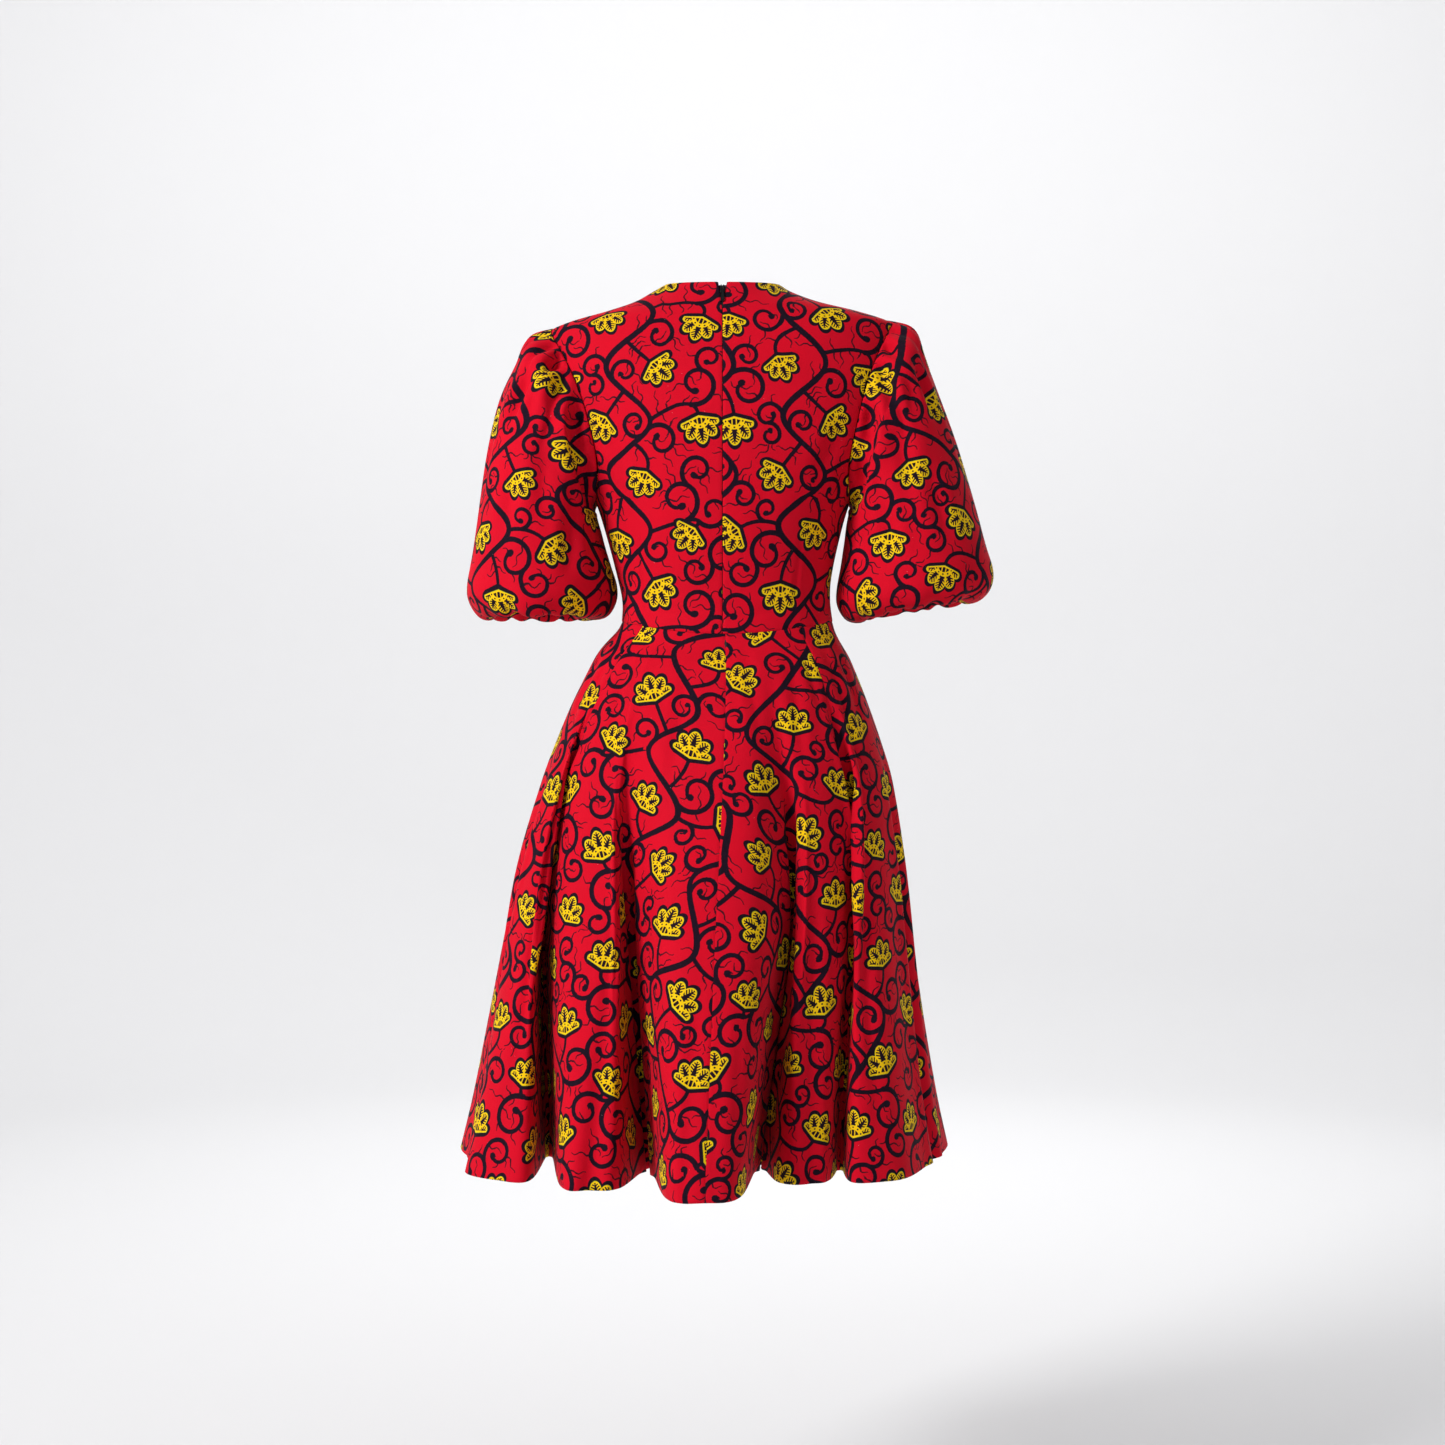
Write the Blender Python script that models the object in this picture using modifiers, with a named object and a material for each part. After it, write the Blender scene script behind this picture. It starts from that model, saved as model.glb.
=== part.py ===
"""A wax print dress, worn form: fitted bodice, puff sleeves, gored skirt with deep folds and a back zip.

Metres, +Z up. The back of the dress faces +Y, and its left sleeve, as the wearer would say, lies at +X.
The origin lies between the shoulders, at the height of the neck points, where the dress is held.
Every cloth piece is an open surface worked out from the tables below, with a Solidify modifier for its wall.
"""

from collections import namedtuple
from math import acos, atan2, cos, degrees, pi, radians, sin

import bmesh
import bpy
from mathutils import Matrix, Vector

WALL = 0.0015  # cloth wall
SEAM = 0.00025  # how far each piece stays back from a seam line
SECTION_POWER = 2.2  # 2 would make the body's sections true ellipses

# The body's sections, from the neck points down to the waist seam
BodyRing = namedtuple("BodyRing", "z left right back front")
BODY = (
    BodyRing(0.000, 0.066, 0.066, 0.050, 0.045),
    BodyRing(-0.008, 0.080, 0.079, 0.053, 0.048),
    BodyRing(-0.020, 0.102, 0.112, 0.059, 0.055),
    BodyRing(-0.031, 0.135, 0.158, 0.065, 0.061),
    BodyRing(-0.042, 0.174, 0.191, 0.070, 0.067),
    BodyRing(-0.052, 0.195, 0.196, 0.074, 0.072),
    BodyRing(-0.072, 0.200, 0.198, 0.080, 0.081),
    BodyRing(-0.110, 0.196, 0.195, 0.089, 0.095),
    BodyRing(-0.155, 0.182, 0.183, 0.096, 0.110),
    BodyRing(-0.200, 0.160, 0.161, 0.098, 0.122),
    BodyRing(-0.243, 0.141, 0.142, 0.096, 0.127),
    BodyRing(-0.283, 0.1285, 0.1305, 0.091, 0.121),
    BodyRing(-0.327, 0.1170, 0.1215, 0.085, 0.106),
    BodyRing(-0.352, 0.1120, 0.1205, 0.083, 0.098),
    BodyRing(-0.376, 0.1130, 0.1235, 0.084, 0.095),
    BodyRing(-0.400, 0.1180, 0.1280, 0.088, 0.097),
)
NECK_HALF = 0.066
NECK_DROP_BACK = 0.004
NECK_DROP_FRONT = 0.088
NECK_POWER = 2.3  # how square the neckline's scoop is
WAIST_SIDE = -0.375
WAIST_DIP_BACK = 0.016
WAIST_DIP_FRONT = 0.006
UNDERARM = -0.243
TIP_LEFT = -0.047  # height of the left shoulder tip
TIP_RIGHT = -0.038
ARMHOLE_TURN_BACK = 38  # degrees that the armhole reaches round the body
ARMHOLE_TURN_FRONT = 43
ARMHOLE_STEPS = 8  # along each half of an armhole
SIDE_STEPS = 4  # along a side seam
SHOULDER_COLUMNS = 6  # across a quarter of the bodice, up to the neck point
NECK_COLUMNS = 5  # from the neck point to the centre
EDGE_STRIP = 0.035  # a narrow strip beside a seam keeps its walls square to the cloth
TOP_STRIP = 0.14  # the strip's height, in steps, below the neck edge
SHOULDER_STRIP = 0.02  # and below the shoulder seam, where the cloth turns over
NOTCH_HALF = 0.0045  # the zip's slit at the neck
NOTCH_LENGTH = 0.034

# Puff sleeves: each row is a section through its outermost and innermost points
SleeveRing = namedtuple("SleeveRing", "outer_x outer_z inner_x inner_z back front")
SLEEVE_LEFT = (
    SleeveRing(0.2130, -0.0560, 0.1465, -0.2480, 0.071, 0.076),
    SleeveRing(0.2300, -0.0860, 0.1500, -0.2560, 0.078, 0.080),
    SleeveRing(0.2480, -0.1280, 0.1480, -0.2670, 0.081, 0.081),
    SleeveRing(0.2610, -0.1850, 0.1440, -0.2810, 0.081, 0.079),
    SleeveRing(0.2700, -0.2400, 0.1390, -0.2970, 0.080, 0.077),
    SleeveRing(0.2780, -0.2950, 0.1330, -0.3160, 0.080, 0.076),
    SleeveRing(0.2850, -0.3360, 0.1270, -0.3360, 0.081, 0.077),
    SleeveRing(0.2820, -0.3550, 0.1280, -0.3510, 0.079, 0.075),
    SleeveRing(0.2720, -0.3690, 0.1370, -0.3650, 0.071, 0.067),
    SleeveRing(0.2600, -0.3720, 0.1490, -0.3710, 0.060, 0.057),
    SleeveRing(0.2510, -0.3640, 0.1570, -0.3630, 0.051, 0.049),
    SleeveRing(0.2490, -0.3520, 0.1590, -0.3510, 0.048, 0.047),
)
SLEEVE_RIGHT = (
    SleeveRing(0.2110, -0.0480, 0.1470, -0.2480, 0.071, 0.076),
    SleeveRing(0.2270, -0.0800, 0.1500, -0.2560, 0.078, 0.080),
    SleeveRing(0.2430, -0.1280, 0.1490, -0.2670, 0.081, 0.081),
    SleeveRing(0.2630, -0.1850, 0.1470, -0.2810, 0.081, 0.079),
    SleeveRing(0.2800, -0.2400, 0.1440, -0.2970, 0.080, 0.077),
    SleeveRing(0.2930, -0.2880, 0.1410, -0.3160, 0.080, 0.076),
    SleeveRing(0.3020, -0.3180, 0.1370, -0.3380, 0.081, 0.077),
    SleeveRing(0.3000, -0.3370, 0.1370, -0.3540, 0.079, 0.075),
    SleeveRing(0.2900, -0.3490, 0.1450, -0.3670, 0.071, 0.067),
    SleeveRing(0.2780, -0.3520, 0.1570, -0.3720, 0.060, 0.057),
    SleeveRing(0.2680, -0.3450, 0.1670, -0.3620, 0.051, 0.049),
    SleeveRing(0.2660, -0.3340, 0.1690, -0.3490, 0.048, 0.047),
)

# The skirt without its folds, down to the hem
SkirtRing = namedtuple("SkirtRing", "z left right back front")
SKIRT = (
    SkirtRing(-0.372, 0.1130, 0.1235, 0.0840, 0.095),
    SkirtRing(-0.394, 0.1330, 0.1330, 0.0900, 0.100),
    SkirtRing(-0.417, 0.1440, 0.1430, 0.1030, 0.107),
    SkirtRing(-0.462, 0.1660, 0.1610, 0.1210, 0.118),
    SkirtRing(-0.507, 0.1835, 0.1755, 0.1350, 0.128),
    SkirtRing(-0.551, 0.1975, 0.1865, 0.1430, 0.137),
    SkirtRing(-0.641, 0.2190, 0.1960, 0.1540, 0.151),
    SkirtRing(-0.731, 0.2310, 0.2020, 0.1620, 0.161),
    SkirtRing(-0.820, 0.2420, 0.2090, 0.1680, 0.170),
    SkirtRing(-0.910, 0.2530, 0.2180, 0.1740, 0.178),
    SkirtRing(-0.967, 0.2620, 0.2260, 0.1770, 0.183),
)
HEM = -0.967
HEM_CENTRE = (0.018, 0.0)
FOLD_GROWTH = 1.25  # how a fold deepens from where it starts to the hem

# The folds at the hem, from the left side over the back, the right side and the front.
# A fold's crest faces the way of facing, reaches left and right of its crest and sets back there.
Fold = namedtuple(
    "Fold", "crest_x crest_y facing left right set_back valley_x valley_y"
    " waist_crest waist_valley start"
)
FOLDS = (
    Fold(0.296, -0.045, -8, 0.042, 0.042, 0.010, 0.272, 0.058, -8, 12, -0.46),
    Fold(0.240, 0.148, 62, 0.046, 0.036, 0.014, 0.192, 0.014, 28, 41, -0.44),
    Fold(0.137, 0.200, 84, 0.032, 0.030, 0.014, 0.079, 0.104, 50, 61, -0.50),
    Fold(0.018, 0.258, 96, 0.036, 0.038, 0.020, -0.039, 0.088, 91, 106, -0.44),
    Fold(-0.084, 0.172, 97, 0.025, 0.030, 0.016, -0.127, 0.088, 119, 132, -0.42),
    Fold(-0.168, 0.158, 112, 0.032, 0.038, 0.012, -0.232, 0.048, 147, 165, -0.46),
    Fold(-0.256, -0.055, 188, 0.040, 0.040, 0.010, -0.212, -0.118, 186, 204, -0.47),
    Fold(-0.192, -0.204, 228, 0.036, 0.036, 0.014, -0.118, -0.136, 221, 236, -0.45),
    Fold(-0.070, -0.250, 258, 0.038, 0.038, 0.014, -0.012, -0.146, 254, 269, -0.50),
    Fold(0.052, -0.242, 278, 0.036, 0.036, 0.014, 0.108, -0.148, 286, 301, -0.46),
    Fold(0.172, -0.220, 306, 0.038, 0.040, 0.014, 0.216, -0.122, 317, 333, -0.44),
)
STATIONS_PER_FOLD = 4  # left shoulder, crest, right shoulder and valley
COLUMNS_PER_FOLD = 8
SKIRT_ROWS = 9
# Where the skirt's seams run, in stations: the gore seams in two valleys, the centre back on a crest
SIDE_SEAM_LEFT = 0.0
GORE_SEAM_LEFT = 7.0
CENTRE_BACK = 13.0
GORE_SEAM_RIGHT = 19.0
SIDE_SEAM_RIGHT = 24.5

# The zip
TAPE_WIDTH = 0.013
TAPE_THICKNESS = 0.0009
TAPE_GAP = 0.0008  # between the tape and the cloth's inner face
TAPE_END = -0.505
TAPE_TOP = -0.0065
SLIDER_WIDTH = 0.0052
SLIDER_LENGTH = 0.0080
SLIDER_THICKNESS = 0.0022
SLIDER_Z = -0.0125  # the slider's middle
PIN_RADIUS = 0.0005
PIN_STAND_OFF = 0.0016  # from the slider's face to the pin's middle
LUG_GAP = 0.0021
LUG_WIDTH = 0.0007
EYE_RADIUS = 0.0012
EYE_BORE = 0.00078
EYE_WIDTH = 0.0016
TAB_LENGTH = 0.0190
TAB_END_RADIUS = 0.0023
TAB_NECK_RADIUS = 0.0009
TAB_THICKNESS = 0.0010
ROUND_SIDES = 16

CLOTH_RED = (0.60, 0.004, 0.025)
ZIP_BLACK = (0.012, 0.012, 0.014)


def smooth_value(rows, column, place, key="z"):
    """Reads a column of a table at a place between its rows, along a smooth curve."""
    knots = [getattr(row, key) for row in rows]
    values = [getattr(row, column) for row in rows]
    last = len(rows) - 1
    rising = knots[-1] > knots[0]
    i = 0
    while i < last - 1 and (place > knots[i + 1] if rising else place < knots[i + 1]):
        i += 1
    span = knots[i + 1] - knots[i]
    share = min(max((place - knots[i]) / span, 0.0), 1.0)

    def slope(j):
        a, b = max(j - 1, 0), min(j + 1, last)
        return (values[b] - values[a]) / (knots[b] - knots[a]) * span

    s2, s3 = share * share, share**3
    return (
        (2 * s3 - 3 * s2 + 1) * values[i]
        + (s3 - 2 * s2 + share) * slope(i)
        + (3 * s2 - 2 * s3) * values[i + 1]
        + (s3 - s2) * slope(i + 1)
    )


def body_half_width(z, side):
    return smooth_value(BODY, "left" if side >= 0 else "right", z)


def body_y(x, z, back):
    """How far back or forward the body lies at x and z; back is 1 or -1."""
    half = body_half_width(z, x)
    depth = smooth_value(BODY, "back" if back > 0 else "front", z)
    share = min(abs(x) / half, 1.0)
    return back * depth * (1 - share**SECTION_POWER) ** (1 / SECTION_POWER)


def waist_height(x, back):
    """The waist seam's height: it dips a little at the back and the front."""
    share = min(abs(x) / body_half_width(WAIST_SIDE, x), 1.0)
    dip = WAIST_DIP_BACK if back > 0 else WAIST_DIP_FRONT
    return WAIST_SIDE - dip * (1 - share**2)


def ring_point(half, depth, angle, power):
    c, s = cos(angle), sin(angle)
    x = half * (1 if c >= 0 else -1) * abs(c) ** (2 / power)
    y = depth * (1 if s >= 0 else -1) * abs(s) ** (2 / power)
    return x, y


def body_point(angle, z):
    half = body_half_width(z, cos(angle))
    depth = smooth_value(BODY, "back" if sin(angle) > 0 else "front", z)
    x, y = ring_point(half, depth, angle, SECTION_POWER)
    return Vector((x, y, z))


def waist_point(angle):
    """A point of the waist seam, on the body at the seam's own height."""
    spot = body_point(angle, WAIST_SIDE)
    for _ in range(4):
        spot = body_point(angle, waist_height(spot.x, sin(angle)))
    return spot


def tip_height(side):
    return TIP_LEFT if side > 0 else TIP_RIGHT


def armhole_point(side, back, turn):
    """A point of an armhole; turn is 0 at the shoulder tip and pi at the underarm."""
    top = tip_height(side)
    z = top + (UNDERARM - top) * (1 - cos(turn)) / 2
    reach = radians(ARMHOLE_TURN_BACK if back > 0 else ARMHOLE_TURN_FRONT)
    angle = reach * max(sin(turn), 0.0) ** 0.9
    x = body_half_width(z, side) * cos(angle) ** (2 / SECTION_POWER)
    return x, z


def shoulder_height(x, side):
    """The height at which the body is as wide as x, between the neck point and the shoulder tip."""
    low, high = tip_height(side), 0.0
    for _ in range(40):
        middle = (low + high) / 2
        if body_half_width(middle, side) > x:
            low = middle
        else:
            high = middle
    return (low + high) / 2


def neck_height(x, back):
    share = min(x / NECK_HALF, 1.0)
    drop = NECK_DROP_BACK if back > 0 else NECK_DROP_FRONT
    return -drop * (1 - share**NECK_POWER) ** 0.6


def bodice_point(side, back, across, up):
    """A point of a bodice quarter: across is 0 at the side and 1 at the centre, up is 0 at the waist.

    The side edge is the side seam up to SIDE_STEPS, then the armhole up to the shoulder tip.
    """
    angle = pi / 2 * across
    share = 1 - cos(angle)
    low_centre = WAIST_SIDE - (WAIST_DIP_BACK if back > 0 else WAIST_DIP_FRONT)
    if up <= SIDE_STEPS:
        part = up / SIDE_STEPS
        z_edge = WAIST_SIDE + (UNDERARM - WAIST_SIDE) * part
        x_edge = body_half_width(z_edge, side)
        z_centre = low_centre + (UNDERARM - low_centre) * part
        lift = 0.0
        x_waist = side * body_half_width(WAIST_SIDE, side) * cos(angle)
        low_edge = waist_height(x_waist, back) - (WAIST_SIDE + (low_centre - WAIST_SIDE) * share)
        low_edge *= 1 - part
    else:
        part = (up - SIDE_STEPS) / ARMHOLE_STEPS
        x_edge, z_edge = armhole_point(side, back, pi * (1 - part))
        top_centre = neck_height(0.0, back)
        z_centre = UNDERARM + (top_centre - UNDERARM) * part * (1.5 - 0.5 * part)
        x_tip, z_tip = armhole_point(side, back, 0.0)
        x_top = x_tip * cos(angle)
        if x_top > NECK_HALF + 1e-6:
            z_top = shoulder_height(x_top, side)
        else:
            z_top = neck_height(x_top, back)
        lift = (z_top - (z_tip + (top_centre - z_tip) * share)) * part**2
        low_edge = 0.0
    x = x_edge * cos(angle)
    z = z_edge + (z_centre - z_edge) * share + lift + low_edge
    return Vector((side * x, body_y(side * x, z, back), z))


def column_shares(side):
    """Shares across a bodice quarter, with one of them on the neck point."""
    neck = acos(NECK_HALF / armhole_point(side, 1, 0.0)[0]) / (pi / 2)
    shares = [0.0, EDGE_STRIP]
    shares += [neck * i / SHOULDER_COLUMNS for i in range(1, SHOULDER_COLUMNS)]
    return shares + [neck + (1 - neck) * i / NECK_COLUMNS for i in range(NECK_COLUMNS + 1)]


def bodice_rows():
    """Steps up a bodice panel, with a narrow strip below the shoulder and neck edge."""
    top = SIDE_STEPS + ARMHOLE_STEPS
    return [*range(top), top - TOP_STRIP, top]


def hem_stations():
    """Per station: place at the hem, angle there and at the waist, and the height where folding starts."""
    stations = []
    count = len(FOLDS)
    for i, fold in enumerate(FOLDS):
        before = FOLDS[i - 1]
        after = FOLDS[(i + 1) % count]
        facing = Vector((cos(radians(fold.facing)), sin(radians(fold.facing))))
        onward = Vector((-facing.y, facing.x))
        crest = Vector((fold.crest_x, fold.crest_y))
        valley = Vector((fold.valley_x, fold.valley_y))
        left = crest - onward * fold.left - facing * fold.set_back
        right = crest + onward * fold.right - facing * fold.set_back
        waist_before = before.waist_valley - (360 if i == 0 else 0)
        start_before = (before.start + fold.start) / 2
        start_after = (fold.start + after.start) / 2
        rows = (
            (left, (waist_before + fold.waist_crest) / 2, start_before),
            (crest, fold.waist_crest, fold.start),
            (right, (fold.waist_crest + fold.waist_valley) / 2, start_after),
            (valley, fold.waist_valley, start_after),
        )
        for place, waist, start in rows:
            angle = degrees(atan2(place.y - HEM_CENTRE[1], place.x - HEM_CENTRE[0]))
            stations.append([place, angle, waist, start])
    for i in range(1, len(stations)):  # angles go on rising round the skirt
        while stations[i][1] < stations[i - 1][1] - 180:
            stations[i][1] += 360
    for i in range(0, len(stations), 2):  # a shoulder takes the mean of its neighbours
        turn = 360 if i == 0 else 0
        following = stations[(i + 1) % len(stations)][1]
        stations[i][1] = (stations[i - 1][1] - turn + following) / 2
    return stations


STATIONS = hem_stations()


def round_station(place):
    """Smooth values between the stations: hem x and y, hem angle, waist angle and start height."""
    count = len(STATIONS)
    first = int(place // 1)
    share = place - first

    def values(i):
        spot, hem_angle, waist_angle, start = STATIONS[i % count]
        turn = 360 * (i // count)
        return Vector((spot.x, spot.y, hem_angle + turn, waist_angle + turn, start))

    a, b, c, d = (values(first + i) for i in (-1, 0, 1, 2))
    s2, s3 = share * share, share**3
    return (
        b * (2 * s3 - 3 * s2 + 1)
        + (c - a) * 0.5 * (s3 - 2 * s2 + share)
        + c * (3 * s2 - 2 * s3)
        + (d - b) * 0.5 * (s3 - s2)
    )


def skirt_ring_point(angle, z):
    half = smooth_value(SKIRT, "left" if cos(angle) > 0 else "right", z)
    depth = smooth_value(SKIRT, "back" if sin(angle) > 0 else "front", z)
    x, y = ring_point(half, depth, angle, SECTION_POWER)
    return Vector((x, y, 0.0))


def skirt_point(place, down):
    """A point of the skirt: place in stations round it, down is 0 at the waist and 1 at the hem."""
    hem_x, hem_y, hem_angle, waist_angle, start = round_station(place)
    waist = waist_point(radians(waist_angle))
    if down == 0:
        return waist
    z = waist.z + (HEM - waist.z) * down
    spread = min(down * 1.6, 1.0)
    angle = radians(waist_angle + (hem_angle - waist_angle) * spread * spread * (3 - 2 * spread))
    plain = skirt_ring_point(angle, z)
    hem_plain = skirt_ring_point(radians(hem_angle), HEM)
    grown = max((start - z) / (start - HEM), 0.0) ** FOLD_GROWTH
    fold = Vector((hem_x, hem_y, 0.0)) - hem_plain
    spot = Vector((waist.x, waist.y, 0.0)).lerp(plain, min(down / 0.06, 1.0)) + fold * grown
    spot.z = z
    return spot


def skirt_rows():
    """Shares down the skirt, closer together near the waist."""
    return [(i / SKIRT_ROWS) ** 1.35 for i in range(SKIRT_ROWS + 1)]


def sleeve_rings(side, rows):
    """The sections of a sleeve as functions of the turn: 0 on top, pi at the underarm, back first."""
    rings = []
    for row in rows:
        outer = Vector((side * row.outer_x, 0.0, row.outer_z))
        inner = Vector((side * row.inner_x, 0.0, row.inner_z))
        rings.append(((outer + inner) / 2, (outer - inner) / 2, row.back, row.front))
    return rings


def sleeve_start(side, turn):
    """The armhole seam, a seam's gap outside the bodice's edge."""
    back = 1 if turn <= pi else -1
    x, z = armhole_point(side, back, turn if turn <= pi else 2 * pi - turn)
    y = body_y(side * x, z, back)
    return Vector((side * (x + 2 * SEAM), y, z))


def sleeve_grid(side, rows):
    """Rows of points from the armhole to the gathered opening."""
    turns = [pi * i / ARMHOLE_STEPS for i in range(2 * ARMHOLE_STEPS)]
    grid = [[sleeve_start(side, turn) for turn in turns]]
    for centre, half, back, front in sleeve_rings(side, rows):
        line = []
        for turn in turns:
            depth = back if turn <= pi else front
            line.append(centre + half * cos(turn) + Vector((0.0, depth * sin(turn), 0.0)))
        grid.append(line)
    return grid


def pull_back(grid, top=False, bottom=False, left=False, right=False):
    """Moves the named edges of a grid of points a little way into the piece."""
    def towards(spot, inner):
        return spot + (inner - spot).normalized() * SEAM

    if left:
        for row in grid:
            row[0] = towards(row[0], row[1])
    if right:
        for row in grid:
            row[-1] = towards(row[-1], row[-2])
    if bottom:
        grid[0] = [towards(a, b) for a, b in zip(grid[0], grid[1], strict=True)]
    if top:
        grid[-1] = [towards(a, b) for a, b in zip(grid[-1], grid[-2], strict=True)]
    return grid


def add_material(name, colour, roughness, metallic=0.0):
    material = bpy.data.materials.new(name)
    material.use_nodes = True
    shader = material.node_tree.nodes["Principled BSDF"]
    shader.inputs["Base Color"].default_value = (*colour, 1.0)
    shader.inputs["Roughness"].default_value = roughness
    shader.inputs["Metallic"].default_value = metallic
    return material


def add_object(name, mesh, material, collection):
    thing = bpy.data.objects.new(name, mesh)
    mesh.materials.append(material)
    collection.objects.link(thing)
    return thing


def add_cloth(name, grid, material, collection, closed=False, thickness=WALL, flip=False):
    """An open surface through a grid of points, with a wall on its inner side."""
    bm = bmesh.new()
    verts = [[bm.verts.new(spot) for spot in row] for row in grid]
    columns = len(grid[0])
    steps = columns if closed else columns - 1
    for low, high in zip(verts, verts[1:]):
        for i in range(steps):
            j = (i + 1) % columns
            corners = (low[i], low[j], high[j], high[i])
            bm.faces.new(tuple(reversed(corners)) if flip else corners)
    mesh = bpy.data.meshes.new(name)
    bm.to_mesh(mesh)
    bm.free()
    thing = add_object(name, mesh, material, collection)
    wall = thing.modifiers.new("Wall", "SOLIDIFY")
    wall.thickness = thickness
    wall.offset = -1.0
    wall.use_even_offset = True
    wall.use_quality_normals = True
    return thing


def add_bodice(material, collection):
    rows = bodice_rows()

    def quarter(side, back):
        shares = column_shares(side)
        grid = [[bodice_point(side, back, share, up) for share in shares] for up in rows]
        up = rows[-1] - SHOULDER_STRIP
        for i, share in enumerate(shares[:-NECK_COLUMNS]):
            grid[-2][i] = bodice_point(side, back, share, up)
        return grid

    for side, name in ((1, "bodice_back_left"), (-1, "bodice_back_right")):
        grid = quarter(side, 1)
        for row in grid:  # the slit opens at the neck, over the zip
            share = min(max((row[-1].z + NECK_DROP_BACK) / -NOTCH_LENGTH, 0.0), 1.0)
            row[-1].x = side * (SEAM + NOTCH_HALF * (1 - share) ** 1.4)
            row[-1].y = body_y(row[-1].x, row[-1].z, 1)
        pull_back(grid, top=True, bottom=True, left=True)
        add_cloth(name, grid, material, collection, flip=side < 0)

    left, right = quarter(1, -1), quarter(-1, -1)
    front = [a + b[-2::-1] for a, b in zip(left, right, strict=True)]
    pull_back(front, top=True, bottom=True, left=True, right=True)
    add_cloth("bodice_front", front, material, collection, flip=True)


def add_sleeves(material, collection):
    for side, name, rows in ((1, "sleeve_left", SLEEVE_LEFT), (-1, "sleeve_right", SLEEVE_RIGHT)):
        grid = sleeve_grid(side, rows)
        add_cloth(name, grid, material, collection, closed=True, flip=side > 0)


def add_skirt(material, collection):
    count = STATIONS_PER_FOLD * len(FOLDS)
    panels = (
        ("skirt_side_left", SIDE_SEAM_LEFT, GORE_SEAM_LEFT),
        ("skirt_back_left", GORE_SEAM_LEFT, CENTRE_BACK),
        ("skirt_back_right", CENTRE_BACK, GORE_SEAM_RIGHT),
        ("skirt_side_right", GORE_SEAM_RIGHT, SIDE_SEAM_RIGHT),
        ("skirt_front", SIDE_SEAM_RIGHT, SIDE_SEAM_LEFT + count),
    )
    step = STATIONS_PER_FOLD / COLUMNS_PER_FOLD
    for name, first, last in panels:
        places = [first + step * i for i in range(round((last - first) / step) + 1)]
        places = [first, first + 2 * EDGE_STRIP, *places[1:-1], last - 2 * EDGE_STRIP, last]
        grid = [[skirt_point(place, down) for place in places] for down in skirt_rows()]
        pull_back(grid, bottom=True, left=True, right=True)
        add_cloth(name, grid, material, collection, flip=True)


def skirt_beside(offset, down):
    """The skirt's point at this offset in X from the centre back seam."""
    centre = skirt_point(CENTRE_BACK, down)
    near, far = CENTRE_BACK, CENTRE_BACK - (2 if offset > 0 else -2)
    for _ in range(30):
        middle = (near + far) / 2
        if abs(skirt_point(middle, down).x - centre.x) < abs(offset):
            near = middle
        else:
            far = middle
    return skirt_point(near, down)


def tape_line(offset):
    """The cloth's points down the back at this offset from the zip, from the neck to the zip's end."""
    low = SIDE_STEPS + ARMHOLE_STEPS
    heights = [bodice_point(1, 1, 1.0, up).z for up in range(low, -1, -1)]
    heights = [TAPE_TOP] + [z for z in heights if z < TAPE_TOP - 0.004]
    spots = [Vector((offset, body_y(offset, z, 1), z)) for z in heights]
    lower = [skirt_beside(offset, down) for down in skirt_rows()[1:]]
    return spots + [spot for spot in lower if spot.z > TAPE_END]


def add_tapes(material, collection):
    """The zip's tapes, made from the cloth's own points, moved in."""
    for side, name in ((1, "zip_tape_left"), (-1, "zip_tape_right")):
        lines = []
        for offset in (SEAM, TAPE_WIDTH):
            line = tape_line(side * offset)
            moved = []
            for i, spot in enumerate(line):
                above, below = line[max(i - 1, 0)], line[min(i + 1, len(line) - 1)]
                along = (below - above).normalized()
                inward = Vector((0.0, -abs(along.z), -along.y)).normalized()
                moved.append(spot + inward * (WALL + TAPE_GAP))
            lines.append(moved)
        grid = [list(row) for row in zip(*lines, strict=True)]
        add_cloth(name, grid, material, collection, thickness=TAPE_THICKNESS, flip=side < 0)


def slider_frame():
    """Where the slider lies: on the tape, leaning as the upper back does."""
    up, down = SLIDER_Z + 0.006, SLIDER_Z - 0.006
    rise = Vector((0.0, body_y(0.0, up, 1) - body_y(0.0, down, 1), up - down)).normalized()
    outward = Vector((0.0, rise.z, -rise.y))
    spot = Vector((0.0, body_y(0.0, SLIDER_Z, 1), SLIDER_Z))
    spot -= outward * (WALL + TAPE_GAP - 0.0003)
    turn = Matrix((Vector((1.0, 0.0, 0.0)), outward, rise)).transposed().to_4x4()
    return Matrix.Translation(spot) @ turn


def box_mesh(name, size, centre, bevel=0.0):
    bm = bmesh.new()
    bmesh.ops.create_cube(bm, size=1.0)
    bmesh.ops.scale(bm, vec=size, verts=bm.verts)
    bmesh.ops.translate(bm, vec=centre, verts=bm.verts)
    if bevel:
        bmesh.ops.bevel(
            bm, geom=bm.edges[:], offset=bevel, segments=2, affect="EDGES", profile=0.5, material=-1
        )
    mesh = bpy.data.meshes.new(name)
    bm.to_mesh(mesh)
    bm.free()
    return mesh


def rod_mesh(name, radius, length, centre):
    """A cylinder along X."""
    bm = bmesh.new()
    bmesh.ops.create_cone(
        bm, cap_ends=True, segments=ROUND_SIDES, radius1=radius, radius2=radius, depth=length
    )
    bmesh.ops.rotate(bm, verts=bm.verts, matrix=Matrix.Rotation(pi / 2, 3, "Y"))
    bmesh.ops.translate(bm, vec=centre, verts=bm.verts)
    mesh = bpy.data.meshes.new(name)
    bm.to_mesh(mesh)
    bm.free()
    return mesh


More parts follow.
